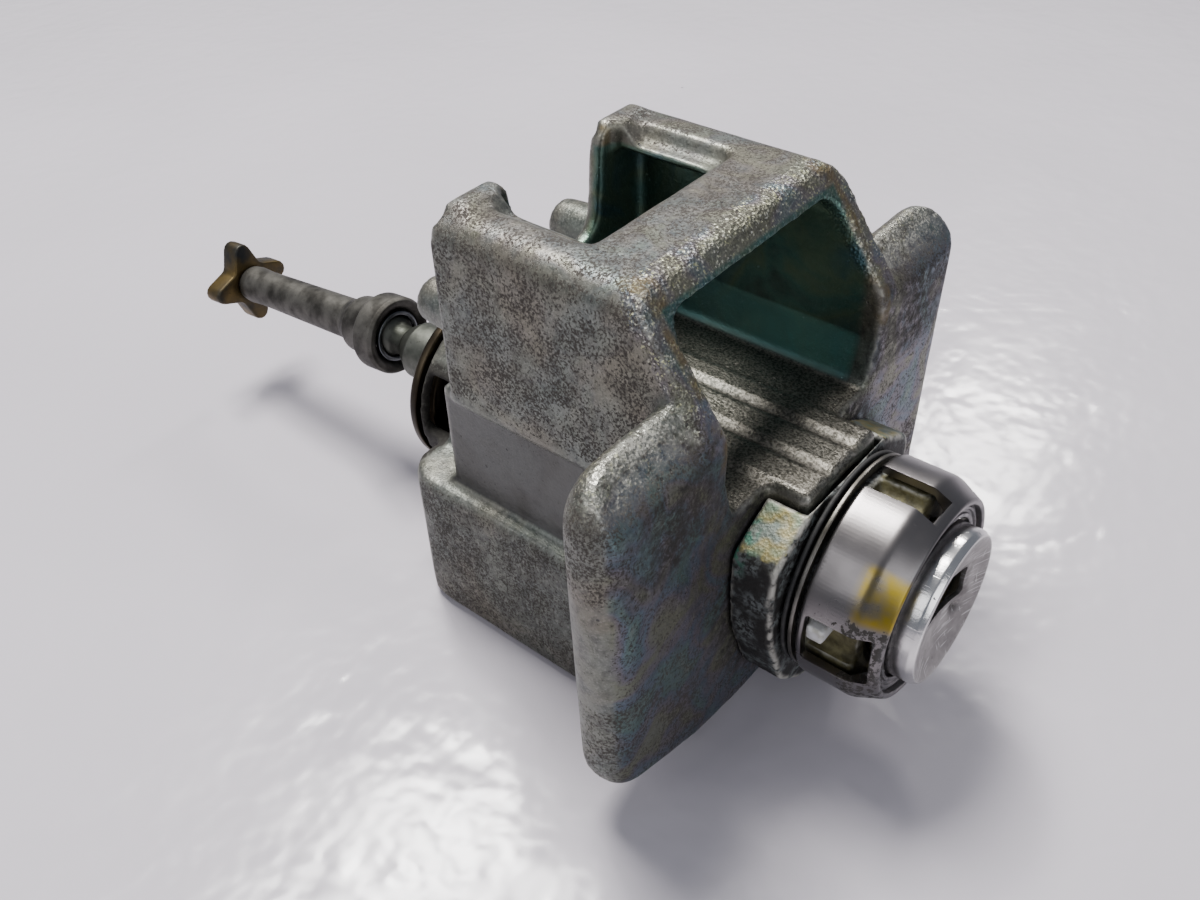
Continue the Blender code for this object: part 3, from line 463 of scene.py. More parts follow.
def cast_zinc(light, dark):
    """Cast zinc: mottled, speckled, with rainbow tints, painted glints on its rough rims, a painted highlight
    on the ear ridges, and painted shade and darker areas in near-black.
    """
    finish = Finish("cast_zinc")
    broad = finish.noise(95.0, 3.0, 0.55, distortion=0.6)
    medium = finish.noise(1000.0, 5.0, 0.62)
    fine = finish.noise(3600.0, 4.0, 0.65)
    edge = finish.kept("edge")
    rim = finish.kept("rim")
    shade_and_darker_areas = finish.kept("shade_and_darker_areas")
    inside = finish.kept("inside")
    plate_area = finish.kept("machined")
    tarnish = finish.kept("tarnish")
    tint_area = finish.kept("tint")

    colour = finish.blend(finish.step(medium, 0.26, 0.60), dark, light)
    colour = finish.blend(finish.times(finish.step(fine, 0.50, 0.66), 0.5), colour,
                          (0.29, 0.285, 0.25))
    warm = finish.blend(finish.step(broad, 0.35, 0.65), (1.0, 0.93, 0.84), (0.90, 0.99, 1.0))
    colour = finish.blend(0.8, colour, warm, 'MULTIPLY')
    rainbow = finish.ramp(finish.noise(150.0, 3.0, 0.5, distortion=1.2), [
        (0.26, (0.19, 0.20, 0.17)), (0.38, (0.17, 0.18, 0.12)), (0.48, (0.15, 0.13, 0.18)),
        (0.56, (0.09, 0.14, 0.22)), (0.66, (0.09, 0.19, 0.19)), (0.80, (0.19, 0.21, 0.19)),
    ])
    colour = finish.blend(finish.times(tint_area, 0.6), colour, rainbow)
    smooth_plate = finish.blend(finish.step(broad, 0.35, 0.65), (0.050, 0.051, 0.050), (0.082, 0.083, 0.081))
    colour = finish.blend(finish.times(plate_area, 0.85), colour, smooth_plate)

    grain = finish.noise(3500.0, 6.0, 0.75)
    cover = finish.step(finish.noise(260.0, 5.0, 0.65), 0.06, 0.68)
    density = finish.times(tarnish, cover)
    threshold = finish.mix(density, 0.68, 0.47)
    specks = finish.step(finish.maths('SUBTRACT', grain, threshold), -0.012, 0.03)
    stain = finish.times(finish.step(finish.noise(330.0, 5.0, 0.7), 0.46, 0.70), tarnish)
    colour = finish.blend(finish.times(stain, 0.42), colour, (0.050, 0.042, 0.032))
    colour = finish.blend(finish.times(specks, 0.88), colour, (0.030, 0.023, 0.018))

    holes = finish.step(finish.cells(900.0), 0.17, 0.10)
    lucky = finish.step(finish.noise(310.0, 1.0), 0.55, 0.60)
    pits = finish.times(holes, lucky)
    colour = finish.blend(finish.times(pits, 0.9), colour, (0.012, 0.010, 0.009))

    # Worn convex edges go lighter, plus a painted highlight along the ear ridges; both also lower the
    # roughness.
    wear_and_highlight = finish.times(finish.step(edge, 0.035, 0.17), 0.6)
    wear_and_highlight = finish.most(wear_and_highlight, finish.kept("ridge_polish_and_highlight"))
    bright = finish.times(wear_and_highlight, finish.step(finish.noise(900.0, 4.0, 0.7), 0.34, 0.58))
    colour = finish.blend(bright, colour, (0.46, 0.46, 0.41))
    # Painted glints: scattered bright facets on the front rim and the up-facing ear tops.
    facets = finish.cells(6200.0, output="Color")
    facet_light = finish.node("ShaderNodeSeparateColor", {"Color": facets}).outputs["Red"]
    glints = finish.times(finish.step(facet_light, 0.72, 0.90), rim)
    glints = finish.times(glints, finish.step(finish.noise(1300.0, 3.0), 0.40, 0.60))
    colour = finish.blend(finish.times(glints, 0.6), colour,
                          finish.blend(finish.step(medium, 0.4, 0.6), (0.80, 0.80, 0.72), (0.62, 0.62, 0.34)))
    # Painted shade: concave corners, with the painted shade and darker areas kept at the points, go towards
    # near-black.
    corners = finish.step(edge, -0.03, -0.16)
    darkening = finish.most(finish.times(corners, 0.8), shade_and_darker_areas)
    darkening = finish.times(darkening, finish.step(finish.noise(1100.0, 6.0, 0.75), 0.34, 0.60))
    darkening = finish.most(darkening, finish.times(finish.step(shade_and_darker_areas, 1.02, 1.45), 0.92))
    colour = finish.blend(darkening, colour, (0.016, 0.014, 0.011))

    gold = finish.times(finish.kept("gold"), finish.step(finish.noise(330.0, 3.0), 0.35, 0.65))
    colour = finish.blend(finish.times(gold, 0.75), colour, (0.17, 0.12, 0.035))
    teal = finish.ramp(finish.noise(130.0, 3.0, 0.5, distortion=0.8), [
        (0.25, (0.030, 0.055, 0.055)), (0.42, (0.045, 0.125, 0.115)), (0.55, (0.085, 0.14, 0.10)),
        (0.70, (0.04, 0.11, 0.13)), (0.85, (0.11, 0.12, 0.06)),
    ])
    colour = finish.blend(finish.times(inside, 0.85), colour, teal)
    # Painted light: the ledge goes a lighter teal.
    colour = finish.blend(finish.kept("lit_ledge"), colour, finish.blend(0.6, teal, (0.17, 0.33, 0.31)))

    knurl = finish.kept("knurl")
    threads = finish.noise(1.0, 3.0, 0.6, coords=finish.stretched((3900.0, 3600.0, 3600.0)))
    ground = finish.blend(finish.step(threads, 0.36, 0.62), (0.055, 0.05, 0.04), (0.235, 0.218, 0.185))
    colour = finish.blend(finish.times(knurl, 0.85), colour, ground)

    rough = finish.mix(fine, 0.34, 0.54)
    rough = finish.mix(finish.times(bright, 0.8), rough, 0.24)
    rough = finish.mix(finish.most(specks, darkening), rough, 0.85)
    rough = finish.mix(finish.times(inside, 0.6), rough, 0.30)
    metallic = finish.mix(finish.most(specks, finish.most(pits, darkening)), 0.90, 0.1)
    glitter = finish.times(finish.cells(3000.0), finish.maths('ADD', rim, 0.12, clamp=True))
    normal = finish.relief([(medium, 0.5, 0.00012), (fine, 0.5, 0.00004), (glitter, 0.8, 0.00014),
                            (finish.times(threads, knurl), 0.6, 0.00010),
                            (finish.times(specks, -1.0), 0.35, 0.00004),
                            (finish.times(pits, -1.0), 0.7, 0.0001)])
    return finish.done(colour, rough, metallic, normal)


def greasy_zinc():
    """Zinc of the lock body: gritty up-facing tops painted lighter as if lit, near-black greasy zinc in the
    rest.
    """
    finish = Finish("greasy_zinc")
    medium = finish.noise(520.0, 4.0, 0.6)
    fine = finish.noise(2300.0, 4.0, 0.65)
    clean = finish.blend(finish.step(medium, 0.35, 0.65), (0.10, 0.105, 0.09), (0.30, 0.30, 0.26))
    rainbow = finish.ramp(finish.noise(360.0, 2.0), [
        (0.38, (0.10, 0.17, 0.10)), (0.5, (0.26, 0.21, 0.05)), (0.62, (0.13, 0.17, 0.15)),
    ])
    clean = finish.blend(0.6, clean, rainbow)
    grease_off_lit_tops = finish.kept("grease_off_lit_tops")
    # Painted light: the up-facing tops keep the lighter clean colour, the rest turns to near-black greasy zinc.
    patch = finish.step(finish.maths('ADD', grease_off_lit_tops, finish.times(finish.maths(
        'SUBTRACT', finish.noise(650.0, 6.0, 0.7), 0.5), 1.6)), 0.30, 0.62)
    pits = finish.step(finish.noise(1700.0, 5.0, 0.75), 0.44, 0.56)
    dull = finish.blend(pits, (0.13, 0.145, 0.143), GREASE)
    dull = finish.blend(finish.step(finish.noise(330.0, 3.0), 0.40, 0.60), dull, GREASE)
    olive = finish.blend(finish.step(medium, 0.35, 0.65), (0.06, 0.052, 0.022), (0.20, 0.18, 0.085))
    colour = finish.blend(patch, clean, dull)
    colour = finish.blend(finish.kept("nose"), colour, olive)
    colour = finish.blend(finish.kept("tab"), colour, (0.62, 0.62, 0.62))
    worn = finish.step(finish.kept("edge"), 0.03, 0.13)
    worn = finish.times(worn, finish.step(finish.noise(800.0, 4.0), 0.36, 0.6))
    colour = finish.blend(worn, colour, (0.40, 0.39, 0.35))
    green = finish.times(finish.kept("green"), finish.step(finish.noise(900.0, 4.0), 0.45, 0.6))
    colour = finish.blend(green, colour, (0.06, 0.20, 0.14))
    rough = finish.mix(patch, 0.50, 0.66)
    metallic = finish.mix(patch, 0.75, 0.25)
    normal = finish.relief([(medium, 0.30, 0.0002), (finish.cells(3400.0), 0.28, 0.0001), (fine, 0.4, 0.00006)])
    return finish.done(colour, rough, metallic, normal)


def plated_chrome(plating):
    """Bright plating with faint smears, a yellowed patch and black rust specks."""
    finish = Finish("plated_chrome")
    smear = finish.noise(230.0, 3.0)
    hair = finish.noise(1.0, 2.0, 0.5, coords=finish.stretched((400.0, 9000.0, 400.0)))
    colour = finish.blend(finish.step(smear, 0.3, 0.7), plating, tuple(0.90 * part for part in plating))
    yellow = finish.times(finish.kept("yellow"), finish.step(smear, 0.25, 0.55))
    colour = finish.blend(finish.times(yellow, 0.95), colour, (0.36, 0.26, 0.02))
    rust = finish.kept("rust")
    limit = finish.mix(rust, 0.83, 0.47)
    specks = finish.step(finish.maths('SUBTRACT', finish.noise(1500.0, 5.0, 0.7), limit), 0.0, 0.03)
    colour = finish.blend(specks, colour, SPECK)
    # Painted shade: the front grooves and recess go darker and matt; the front of the cap is a little darker
    # and matt too.
    dull = finish.times(finish.kept("dull"), finish.step(finish.noise(700.0, 4.0), 0.3, 0.6))
    colour = finish.blend(finish.times(dull, 0.85), colour, (0.10, 0.10, 0.105))
    rough = finish.mix(finish.step(smear, 0.3, 0.8), 0.27, 0.36)
    rough = finish.mix(finish.most(specks, finish.times(dull, 0.6)), rough, 0.6)
    metallic = finish.mix(specks, 1.0, 0.2)
    normal = finish.relief([(hair, 0.08, 0.00001), (finish.times(specks, -1.0), 0.4, 0.00004)])
    return finish.done(colour, rough, metallic, normal)


def scratched_nickel():
    """Face of the lock: matt and scratched in the dish, bright on its rim and side."""
    finish = Finish("scratched_nickel")
    cloud = finish.noise(420.0, 4.0)
    fine = finish.noise(2600.0, 3.0)
    hairs = [finish.noise(1.0, 1.5, 0.5, coords=finish.stretched(scale))
             for scale in ((300.0, 300.0, 5200.0), (4200.0, 300.0, 500.0))]
    scratches = finish.most(finish.step(hairs[0], 0.60, 0.68), finish.step(hairs[1], 0.64, 0.72))
    matt = finish.blend(finish.step(cloud, 0.3, 0.7), (0.22, 0.21, 0.205), (0.35, 0.34, 0.33))
    matt = finish.blend(finish.times(scratches, 0.5), matt, (0.72, 0.72, 0.72))
    spots = finish.step(finish.noise(900.0, 5.0, 0.7), 0.62, 0.68)
    matt = finish.blend(finish.times(spots, 0.6), matt, (0.10, 0.09, 0.08))
    side = finish.kept("polished")
    colour = finish.blend(side, matt, (0.70, 0.69, 0.68))
    stain = finish.times(finish.kept("stain"), finish.step(finish.noise(800.0, 5.0, 0.7), 0.35, 0.55))
    colour = finish.blend(stain, colour, (0.05, 0.045, 0.04))
    rough = finish.mix(side, finish.mix(fine, 0.42, 0.58), finish.mix(cloud, 0.15, 0.30))
    normal = finish.relief([(cloud, 0.2, 0.0001), (scratches, 0.35, 0.00002), (fine, 0.3, 0.00002)])
    return finish.done(colour, rough, 1.0, normal)


def seal_rubber():
    finish = Finish("seal_rubber")
    fine = finish.noise(1800.0, 4.0)
    dust = finish.step(finish.noise(600.0, 4.0), 0.5, 0.75)
    colour = finish.blend(finish.times(dust, 0.3), (0.012, 0.012, 0.012), (0.10, 0.095, 0.09))
    return finish.done(colour, finish.mix(fine, 0.5, 0.8), 0.0, finish.relief([(fine, 0.4, 0.00003)]))


def pale_floor(tint):
    """Glossy painted surface with faint waves, dust and a few specks."""
    finish = Finish("pale_floor")
    broad = finish.noise(9.0, 2.0)
    waves = finish.noise(55.0, 3.0, distortion=0.5)
    pale = tuple(min(1.0, part * 1.08) for part in tint)
    colour = finish.blend(finish.step(broad, 0.3, 0.7), tint, pale)
    specks = finish.step(finish.noise(420.0, 2.0, 0.4), 0.80, 0.84)
    colour = finish.blend(finish.times(specks, 0.6), colour, (0.12, 0.12, 0.13))
    rough = finish.mix(finish.step(waves, 0.3, 0.7), 0.12, 0.20)
    ripples = finish.noise(300.0, 1.0, 0.4)
    normal = finish.relief([(waves, 0.40, 0.0008), (ripples, 0.35, 0.0003)])
    return finish.done(colour, rough, 0.0, normal)


# ---- wound springs, made with Geometry Nodes ---------------------------------------------------------------
class NodeTree:
    """A Geometry Nodes tree with named inputs, and short calls that add its nodes."""

    def __init__(self, name, inputs):
        self.tree = bpy.data.node_groups.new(name, 'GeometryNodeTree')
        self.tree.interface.new_socket("Geometry", in_out='OUTPUT', socket_type='NodeSocketGeometry')
        self.sockets = {}
        for label, (kind, value) in inputs.items():
            socket = self.tree.interface.new_socket(label, in_out='INPUT', socket_type=kind)
            if value is not None:
                socket.default_value = value
            self.sockets[label] = socket.identifier
        self.source = self.tree.nodes.new('NodeGroupInput')

    def node(self, kind, values=None, **options):
        made = self.tree.nodes.new(kind)
        for key, value in options.items():
            setattr(made, key, value)
        for key, value in (values or {}).items():
            if isinstance(value, str):
                value = self.source.outputs[value]
            if isinstance(value, bpy.types.NodeSocket):
                self.tree.links.new(value, made.inputs[key])
            else:
                made.inputs[key].default_value = value
        return made

    def close(self, geometry):
        """End the tree: real geometry, with its material."""
        real = self.node('GeometryNodeRealizeInstances', {"Geometry": geometry})
        dressed = self.node('GeometryNodeSetMaterial', {"Geometry": real.outputs[0], "Material": "Material"})
        end = self.tree.nodes.new('NodeGroupOutput')
        self.tree.links.new(dressed.outputs[0], end.inputs[0])

    def make(self, name, values):
        """Mesh object of the tree, with these inputs."""
        thing = bpy.data.objects.new(name, bpy.data.meshes.new(name))
        bpy.context.scene.collection.objects.link(thing)
        modifier = thing.modifiers.new(name, 'NODES')
        modifier.node_group = self.tree
        for label, value in values.items():
            modifier[self.sockets[label]] = value
        return settle(thing)


def wound_wire_tree():
    """Round wire wound in a helix about Z, with closed ends."""
    tree = NodeTree("wound_wire", {
        "Material": ('NodeSocketMaterial', None), "Coil Radius": ('NodeSocketFloat', 0.005),
        "Wire Radius": ('NodeSocketFloat', 0.0004), "Length": ('NodeSocketFloat', 0.01),
        "Turns": ('NodeSocketFloat', 5.0), "Steps": ('NodeSocketInt', 24)})
    helix = tree.node('GeometryNodeCurveSpiral', {"Resolution": "Steps", "Rotations": "Turns",
                                                  "Start Radius": "Coil Radius", "End Radius": "Coil Radius",
                                                  "Height": "Length"})
    wire = tree.node('GeometryNodeCurvePrimitiveCircle', {"Resolution": 14, "Radius": "Wire Radius"},
                     mode='RADIUS')
    solid = tree.node('GeometryNodeCurveToMesh', {"Curve": helix.outputs[0],
                                                  "Profile Curve": wire.outputs[0], "Fill Caps": True})
    smooth = tree.node('GeometryNodeSetShadeSmooth', {"Geometry": solid.outputs[0]})
    tree.close(smooth.outputs[0])
    return tree


def star_tree():
    """Star with rounded points, filled and given its thickness along Z."""
    tree = NodeTree("star", {
        "Material": ('NodeSocketMaterial', None), "Points": ('NodeSocketInt', 4),
        "Reach": ('NodeSocketFloat', 0.006), "Root": ('NodeSocketFloat', 0.003),
        "Point Rounding": ('NodeSocketFloat', 0.0008), "Thickness": ('NodeSocketFloat', 0.003)})
    outline = tree.node('GeometryNodeCurveStar', {"Points": "Points", "Inner Radius": "Root",
                                                  "Outer Radius": "Reach", "Twist": 0.0})
    soft = tree.node('GeometryNodeFilletCurve', {"Curve": outline.outputs[0], "Count": 5,
                                                 "Radius": "Point Rounding", "Limit Radius": True},
                     mode='POLY')
    filled = tree.node('GeometryNodeFillCurve', {"Curve": soft.outputs[0]}, mode='NGONS')
    grown = tree.node('GeometryNodeExtrudeMesh', {"Mesh": filled.outputs[0], "Offset Scale": "Thickness",
                                                  "Individual": False}, mode='FACES')
    back = tree.node('GeometryNodeFlipFaces', {"Mesh": filled.outputs[0]})
    both = tree.node('GeometryNodeJoinGeometry')
    tree.tree.links.new(grown.outputs[0], both.inputs[0])
    tree.tree.links.new(back.outputs[0], both.inputs[0])
    closed = tree.node('GeometryNodeMergeByDistance', {"Geometry": both.outputs[0], "Distance": 0.00001})
    tree.close(closed.outputs[0])
    return tree


def stand(thing, axis, centre):
    """Turn a piece made about Z to lie along an axis, and move it into place, in its mesh."""
    turn = Vector((0.0, 0.0, 1.0)).rotation_difference(Vector(axis)).to_matrix().to_4x4()
    thing.data.transform(Matrix.Translation(centre) @ turn)
    thing.data.update()


# ---- the pieces --------------------------------------------------------------------------------------------
def reskinned(name, node, grain, passes):
    """Copy of a solid node with an even fine mesh and rounded edges."""
    bm = bmesh.new()
    bm.from_mesh(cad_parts[node].data)
    bmesh.ops.remove_doubles(bm, verts=bm.verts, dist=0.000002)
    piece = new_object(name, bm)
    remesh = piece.modifiers.new("even_points", 'REMESH')
    remesh.mode = 'VOXEL'
    remesh.voxel_size = grain
    smooth = piece.modifiers.new("rounded_edges", 'SMOOTH')
    smooth.iterations = passes
    smooth.factor = 0.5
    return settle(piece, sharp=180.0)


class LOCK_OT_casting(bpy.types.Operator):
    """Zinc casting: hood, ears, base box and rear barrel"""
    bl_idname = "lock.casting"
    bl_label = "Casting"

    def execute(self, context):
        sizes = settings("casting")
        casting = reskinned("casting_skin", "outer_housing", sizes.grain, sizes.passes)
        mesh = casting.data
        spots, normals = points_of(mesh)
        x, y, z = spots.T
        side = np.abs(x)

        floor = between(z, 10.2, 11.6, 0.3) * between(side, 0.0, 11.0, 0.3) * ease(normals[:, 2], 0.5, 0.9)
        floor *= between(y, 7.0, 40.8, 0.3)
        strips = sum(between(x, low, high, 0.35) for low, high in ((-5.9, -2.6), (-1.3, 2.0), (3.3, 5.9)))
        slant = 0.804 * (y - 14.75) - 0.594 * (z - 23.95)
        front_rim = between(slant, -1.5, 1.0, 0.8) * between(side, 0.0, 16.0, 0.2) * ease(z, 20.5, 24.0)
        ear_top = ease(z, 20.0, 22.5) * ease(side, 15.8, 17.0)
        rough = unevenness(spots, 1.1, 1)
        gentle = unevenness(spots, 3.6, 2)
        rise = sizes.relief / MM * (0.55 * gentle + (0.35 + 1.6 * front_rim + 0.7 * ear_top) * rough)
        rise += sizes.strip_rise / MM * floor * strips - 0.12 * floor
        rise -= sizes.relief / MM
        move_points(mesh, spots + normals * rise[:, None])

        edge = edge_measure(mesh)
        keep(mesh, "edge", edge)
        inside = between(side, 0.0, 13.1, 0.1) * between(z, 11.8, 30.2, 0.3) * between(y, 15.0, 41.8, 1.0)
        inside = np.maximum(inside, 0.6 * floor * ease(y, 15.0, 24.0))
        keep(mesh, "knurl", floor)
        keep(mesh, "inside", inside)
        # Painted light: the up-facing ledge of the lower wall inside the hood, in a lighter teal as if lit.
        lit_ledge = between(side, 11.0, 13.1, 0.1) * between(z, 11.3, 15.6, 0.25) * between(y, 15.0, 41.8, 1.0)
        keep(mesh, "lit_ledge", lit_ledge)
        # Ear ridges facing up and forward: partly worn polish, partly a painted highlight.
        ridge = ease(z, 20.6, 22.6) * between(side, 16.4, 29.4, 0.8) * between(y, 11.0, 16.2, 0.8)
        keep(mesh, "ridge_polish_and_highlight", 0.55 * ridge * ease(normals[:, 2] - 0.5 * normals[:, 1], 0.55, 1.0))
        # Where the painted glints go: the front rim and the up-facing ear tops; the rim also gets a stronger
        # glitter bump.
        keep(mesh, "rim", np.clip(front_rim + 0.55 * ear_top * ease(normals[:, 2], 0.1, 0.8), 0.0, 1.0))
        flank = ease(side, 14.2, 14.7) * between(side, 0.0, 15.2, 0.1) * between(z, 0.2, 11.4, 0.2)
        keep(mesh, "machined", np.maximum(flank * ease(y, 17.5, 18.5), 0.25 * floor))
        ear_front = ease(-normals[:, 1], 0.6, 0.9) * between(y, 10.0, 14.5, 0.3) * (1.0 - inside)
        radius = np.hypot(x, z)
        # Painted shade where the ear front meets the lock, in the ear's crease, under the ear tops and inside
        # the bore; the base box's low sides and the barrel's rear end are simply darker.
        near_lock = ear_front * (1.0 - ease(radius, 13.5, 17.5))
        crease = between(z, 12.5, 21.0, 2.5) * ear_front * (1.0 - ease(side, 18.0, 27.0))
        hidden = between(radius, 0.0, 10.0, 0.1) * between(y, 8.0, 56.0, 0.2)
        under_top = between(z, 12.0, 19.5, 2.0) * ear_front * ease(side, 17.0, 22.0)
        rear_end_dark = ease(y, 50.0, 50.8) * (1.0 - ease(z, 6.2, 8.0)) * (1.0 - ease(x, -5.0, -2.0))
        low_side = 0.40 * ease(side, 16.2, 16.6) * (1.0 - ease(z, -1.5, 0.0)) * ease(y, 18.2, 18.6)
        shade_and_darker_areas = low_side + near_lock + 0.75 * crease + 0.5 * under_top + hidden + 1.6 * rear_end_dark
        keep(mesh, "shade_and_darker_areas", np.clip(shade_and_darker_areas, 0.0, 1.6))
        walls = ease(side, 14.9, 15.3) * ease(z, 12.0, 14.0)
        walls = walls + ease(side, 16.2, 16.6) * (1.0 - ease(z, -1.5, 0.0))
        top = ease(normals[:, 2], 0.6, 0.9) * ease(z, 30.0, 31.0)
        keep(mesh, "tarnish", np.clip(0.98 * walls + 0.78 * top + 0.5 * ear_front + 0.3, 0.0, 1.0))
        keep(mesh, "tint", np.clip(0.9 * ear_front + 0.22 * top + 0.4 * front_rim + 0.1, 0.0, 1.0))
        inner_edge = between(side, 12.3, 14.2, 0.3) * between(slant, -0.6, 1.6, 0.6) * ease(z, 15.0, 20.0)
        notch_rim = between(y, 40.6, 42.2, 0.3) * between(side, 5.0, 7.4, 0.5) * ease(z, 20.0, 22.0)
        keep(mesh, "gold", np.clip(0.8 * inner_edge + 0.9 * notch_rim, 0.0, 1.0))
        dress(casting, "housing", "cast_zinc", cast_zinc(sizes.light, sizes.dark), "outer_housing")
        return {'FINISHED'}


class LOCK_OT_lock_body(bpy.types.Operator):
    """Lock body with its eight-sided collar"""
    bl_idname = "lock.lock_body"
    bl_label = "Lock body"

    def execute(self, context):
        body = reskinned("lock_body_skin", "lock_body", BODY_GRAIN, 4)
        mesh = body.data
        spots, normals = points_of(mesh)
        rough = unevenness(spots, 0.9, 3)
        x, y, z = spots.T
        move_points(mesh, spots + normals * (0.03 * rough - 0.03)[:, None])
        keep(mesh, "edge", edge_measure(mesh))
        # Up-facing tops of the wedge: painted lighter as if lit; the rest is near-black greasy zinc.
        wedge = ease(z, 6.6, 8.0) * ease(np.abs(x), 6.6, 7.2) * ease(normals[:, 2], 0.5, 0.8)
        keep(mesh, "grease_off_lit_tops", 1.0 - wedge * 0.9)
        keep(mesh, "green", ease(y, 10.0, 11.6) * ease(z, 4.0, 7.0) * ease(-x, 8.0, 10.0))
        keep(mesh, "nose", 0.85 * (1.0 - ease(y, 4.6, 5.4)))
        keep(mesh, "tab", between(y, 2.5, 4.6, 0.15) * between(z, 0.0, 1.9, 0.15) * ease(-x, 9.0, 9.6))
        dress(body, "housing", "body_zinc", greasy_zinc(), "lock_body")
        return {'FINISHED'}


class LOCK_OT_front_rings(bpy.types.Operator):
    """Rubber seal and steel washer behind the cap"""
    bl_idname = "lock.front_rings"
    bl_label = "Seal and washer"

    def execute(self, context):
        low, high = span("front_seal")
        seal = rounded([(RING_BORE, low, 0.0), (RING_BORE + 0.78, low, 0.2), (RING_BORE + 0.78, high, 0.2),
                        (RING_BORE, high, 0.0)])
        dress(turned("seal_ring", seal), "housing", "seal_rubber", seal_rubber(), "front_seal")
        low, high = span("spacer_washer")
        outer = settings("front").cap_radius / MM - 0.3
        washer = rounded([(RING_BORE, low, 0.0), (outer, low, 0.12), (outer, high, 0.12), (RING_BORE, high,
                                                                                           0.0)])
        steel = worn_metal("washer_steel", (0.22, 0.21, 0.19), (0.07, 0.065, 0.055), (0.30, 0.50), 900.0, 0.7)
        dress(turned("washer_ring", washer), "housing", "washer_steel", steel, "spacer_washer")
        return {'FINISHED'}


class LOCK_OT_front_cap(bpy.types.Operator):
    """Plated cap with its cone, grooved front and four windows"""
    bl_idname = "lock.front_cap"
    bl_label = "Plated cap"

    def execute(self, context):
        sizes = settings("front")
        outer = sizes.cap_radius / MM
        wall = sizes.cap_wall / MM
        hole = sizes.face_radius / MM + FACE_GAP
        front = span("front_cap")[0]
        rear = CAP_SHOULDER_TO_REAR
        edge = outer - 1.2
        recess = front + 0.5
        profile = rounded([
            (hole, recess, 0.15), (8.65, recess, 0.05), (8.75, recess + 0.22, 0.05), (9.0, recess + 0.22, 0.05),
            (9.1, recess, 0.05), (9.35, recess, 0.05), (9.45, recess + 0.22, 0.05), (9.65, recess + 0.22, 0.05),
            (9.72, front + 0.1, 0.1), (edge - 0.2, front, 0.25), (edge, front + 0.12, 0.45), (outer, 0.0, 2.0),
            (outer, rear, 0.3), (outer - wall, rear, 0.2), (outer - wall, -0.1, 0.3), (edge - 0.9,
                                                                                       recess + 1.1, 0.1),
            (hole, recess + 1.1, 0.1),
        ], 4)
        cap = turned("cap_shell", profile, 192)
        cutters = []
        for hand in (-1, 1):
            ends = sorted((hand * 8.9, hand * (outer + 1.0)))
            side = rounded([(-1.8, -2.8, 0.35), (rear - 0.6, -2.8, 0.35), (rear - 0.6, 2.9, 0.35),
                            (-1.8, 2.9, 0.35)])
            cutters.append(prism(f"side_window_{hand}", [(ends[0], a, b) for a, b in side],
                                 (ends[1] - ends[0], 0.0, 0.0)))
            cutters.append(block(f"slot_{hand}", (-1.75, -1.8, ends[0]), (1.75, rear + 1.0, ends[1])))
        cut(cap, cutters)
        soften(cap, 0.09, 2, 50.0)
        settle(cap, cutters, 40.0)
        mesh = cap.data
        split_long_faces(mesh, CAP_EDGE_LENGTH)
        spots, normals = points_of(mesh)
        x, y, z = spots.T
        angle = np.degrees(np.arctan2(z, -x))
        outside = ease(np.hypot(x, z), 9.6, 9.9)
        keep(mesh, "yellow", outside * between(y, -3.0, 0.5, 0.7) * between(angle, 25.0, 46.0, 5.0))
        low_side = between(angle, -42.0, 20.0, 7.0) * between(y, -2.4, 0.6, 1.2)
        low_side += 0.6 * between(angle, 12.0, 22.0, 5.0) * between(y, 0.6, 3.6, 1.0)
        keep(mesh, "rust", np.clip(low_side + 0.35 * (1.0 - outside), 0.0, 1.0) * 0.95)
        # Painted shade in the front grooves and recess, and a slightly darker, matt front.
        keep(mesh, "dull", np.clip((1.0 - outside) * 0.9 + ease(-y, 2.2, 2.6) * 0.4, 0.0, 1.0))
        dress(cap, "housing", "cap_chrome", plated_chrome(tuple(sizes.plating)), "front_cap")
        return {'FINISHED'}


def split_long_faces(mesh, longest):
    """Split edges until none is longer than a length, so that stored numbers vary smoothly."""
    bm = bmesh.new()
    bm.from_mesh(mesh)
    bmesh.ops.triangulate(bm, faces=bm.faces)
    for _ in range(6):
        long_edges = [edge for edge in bm.edges if edge.calc_length() > longest]
        if not long_edges:
            break
        bmesh.ops.subdivide_edges(bm, edges=long_edges, cuts=1)
        bmesh.ops.triangulate(bm, faces=bm.faces)
    bm.to_mesh(mesh)
    bm.free()
    mesh.update()


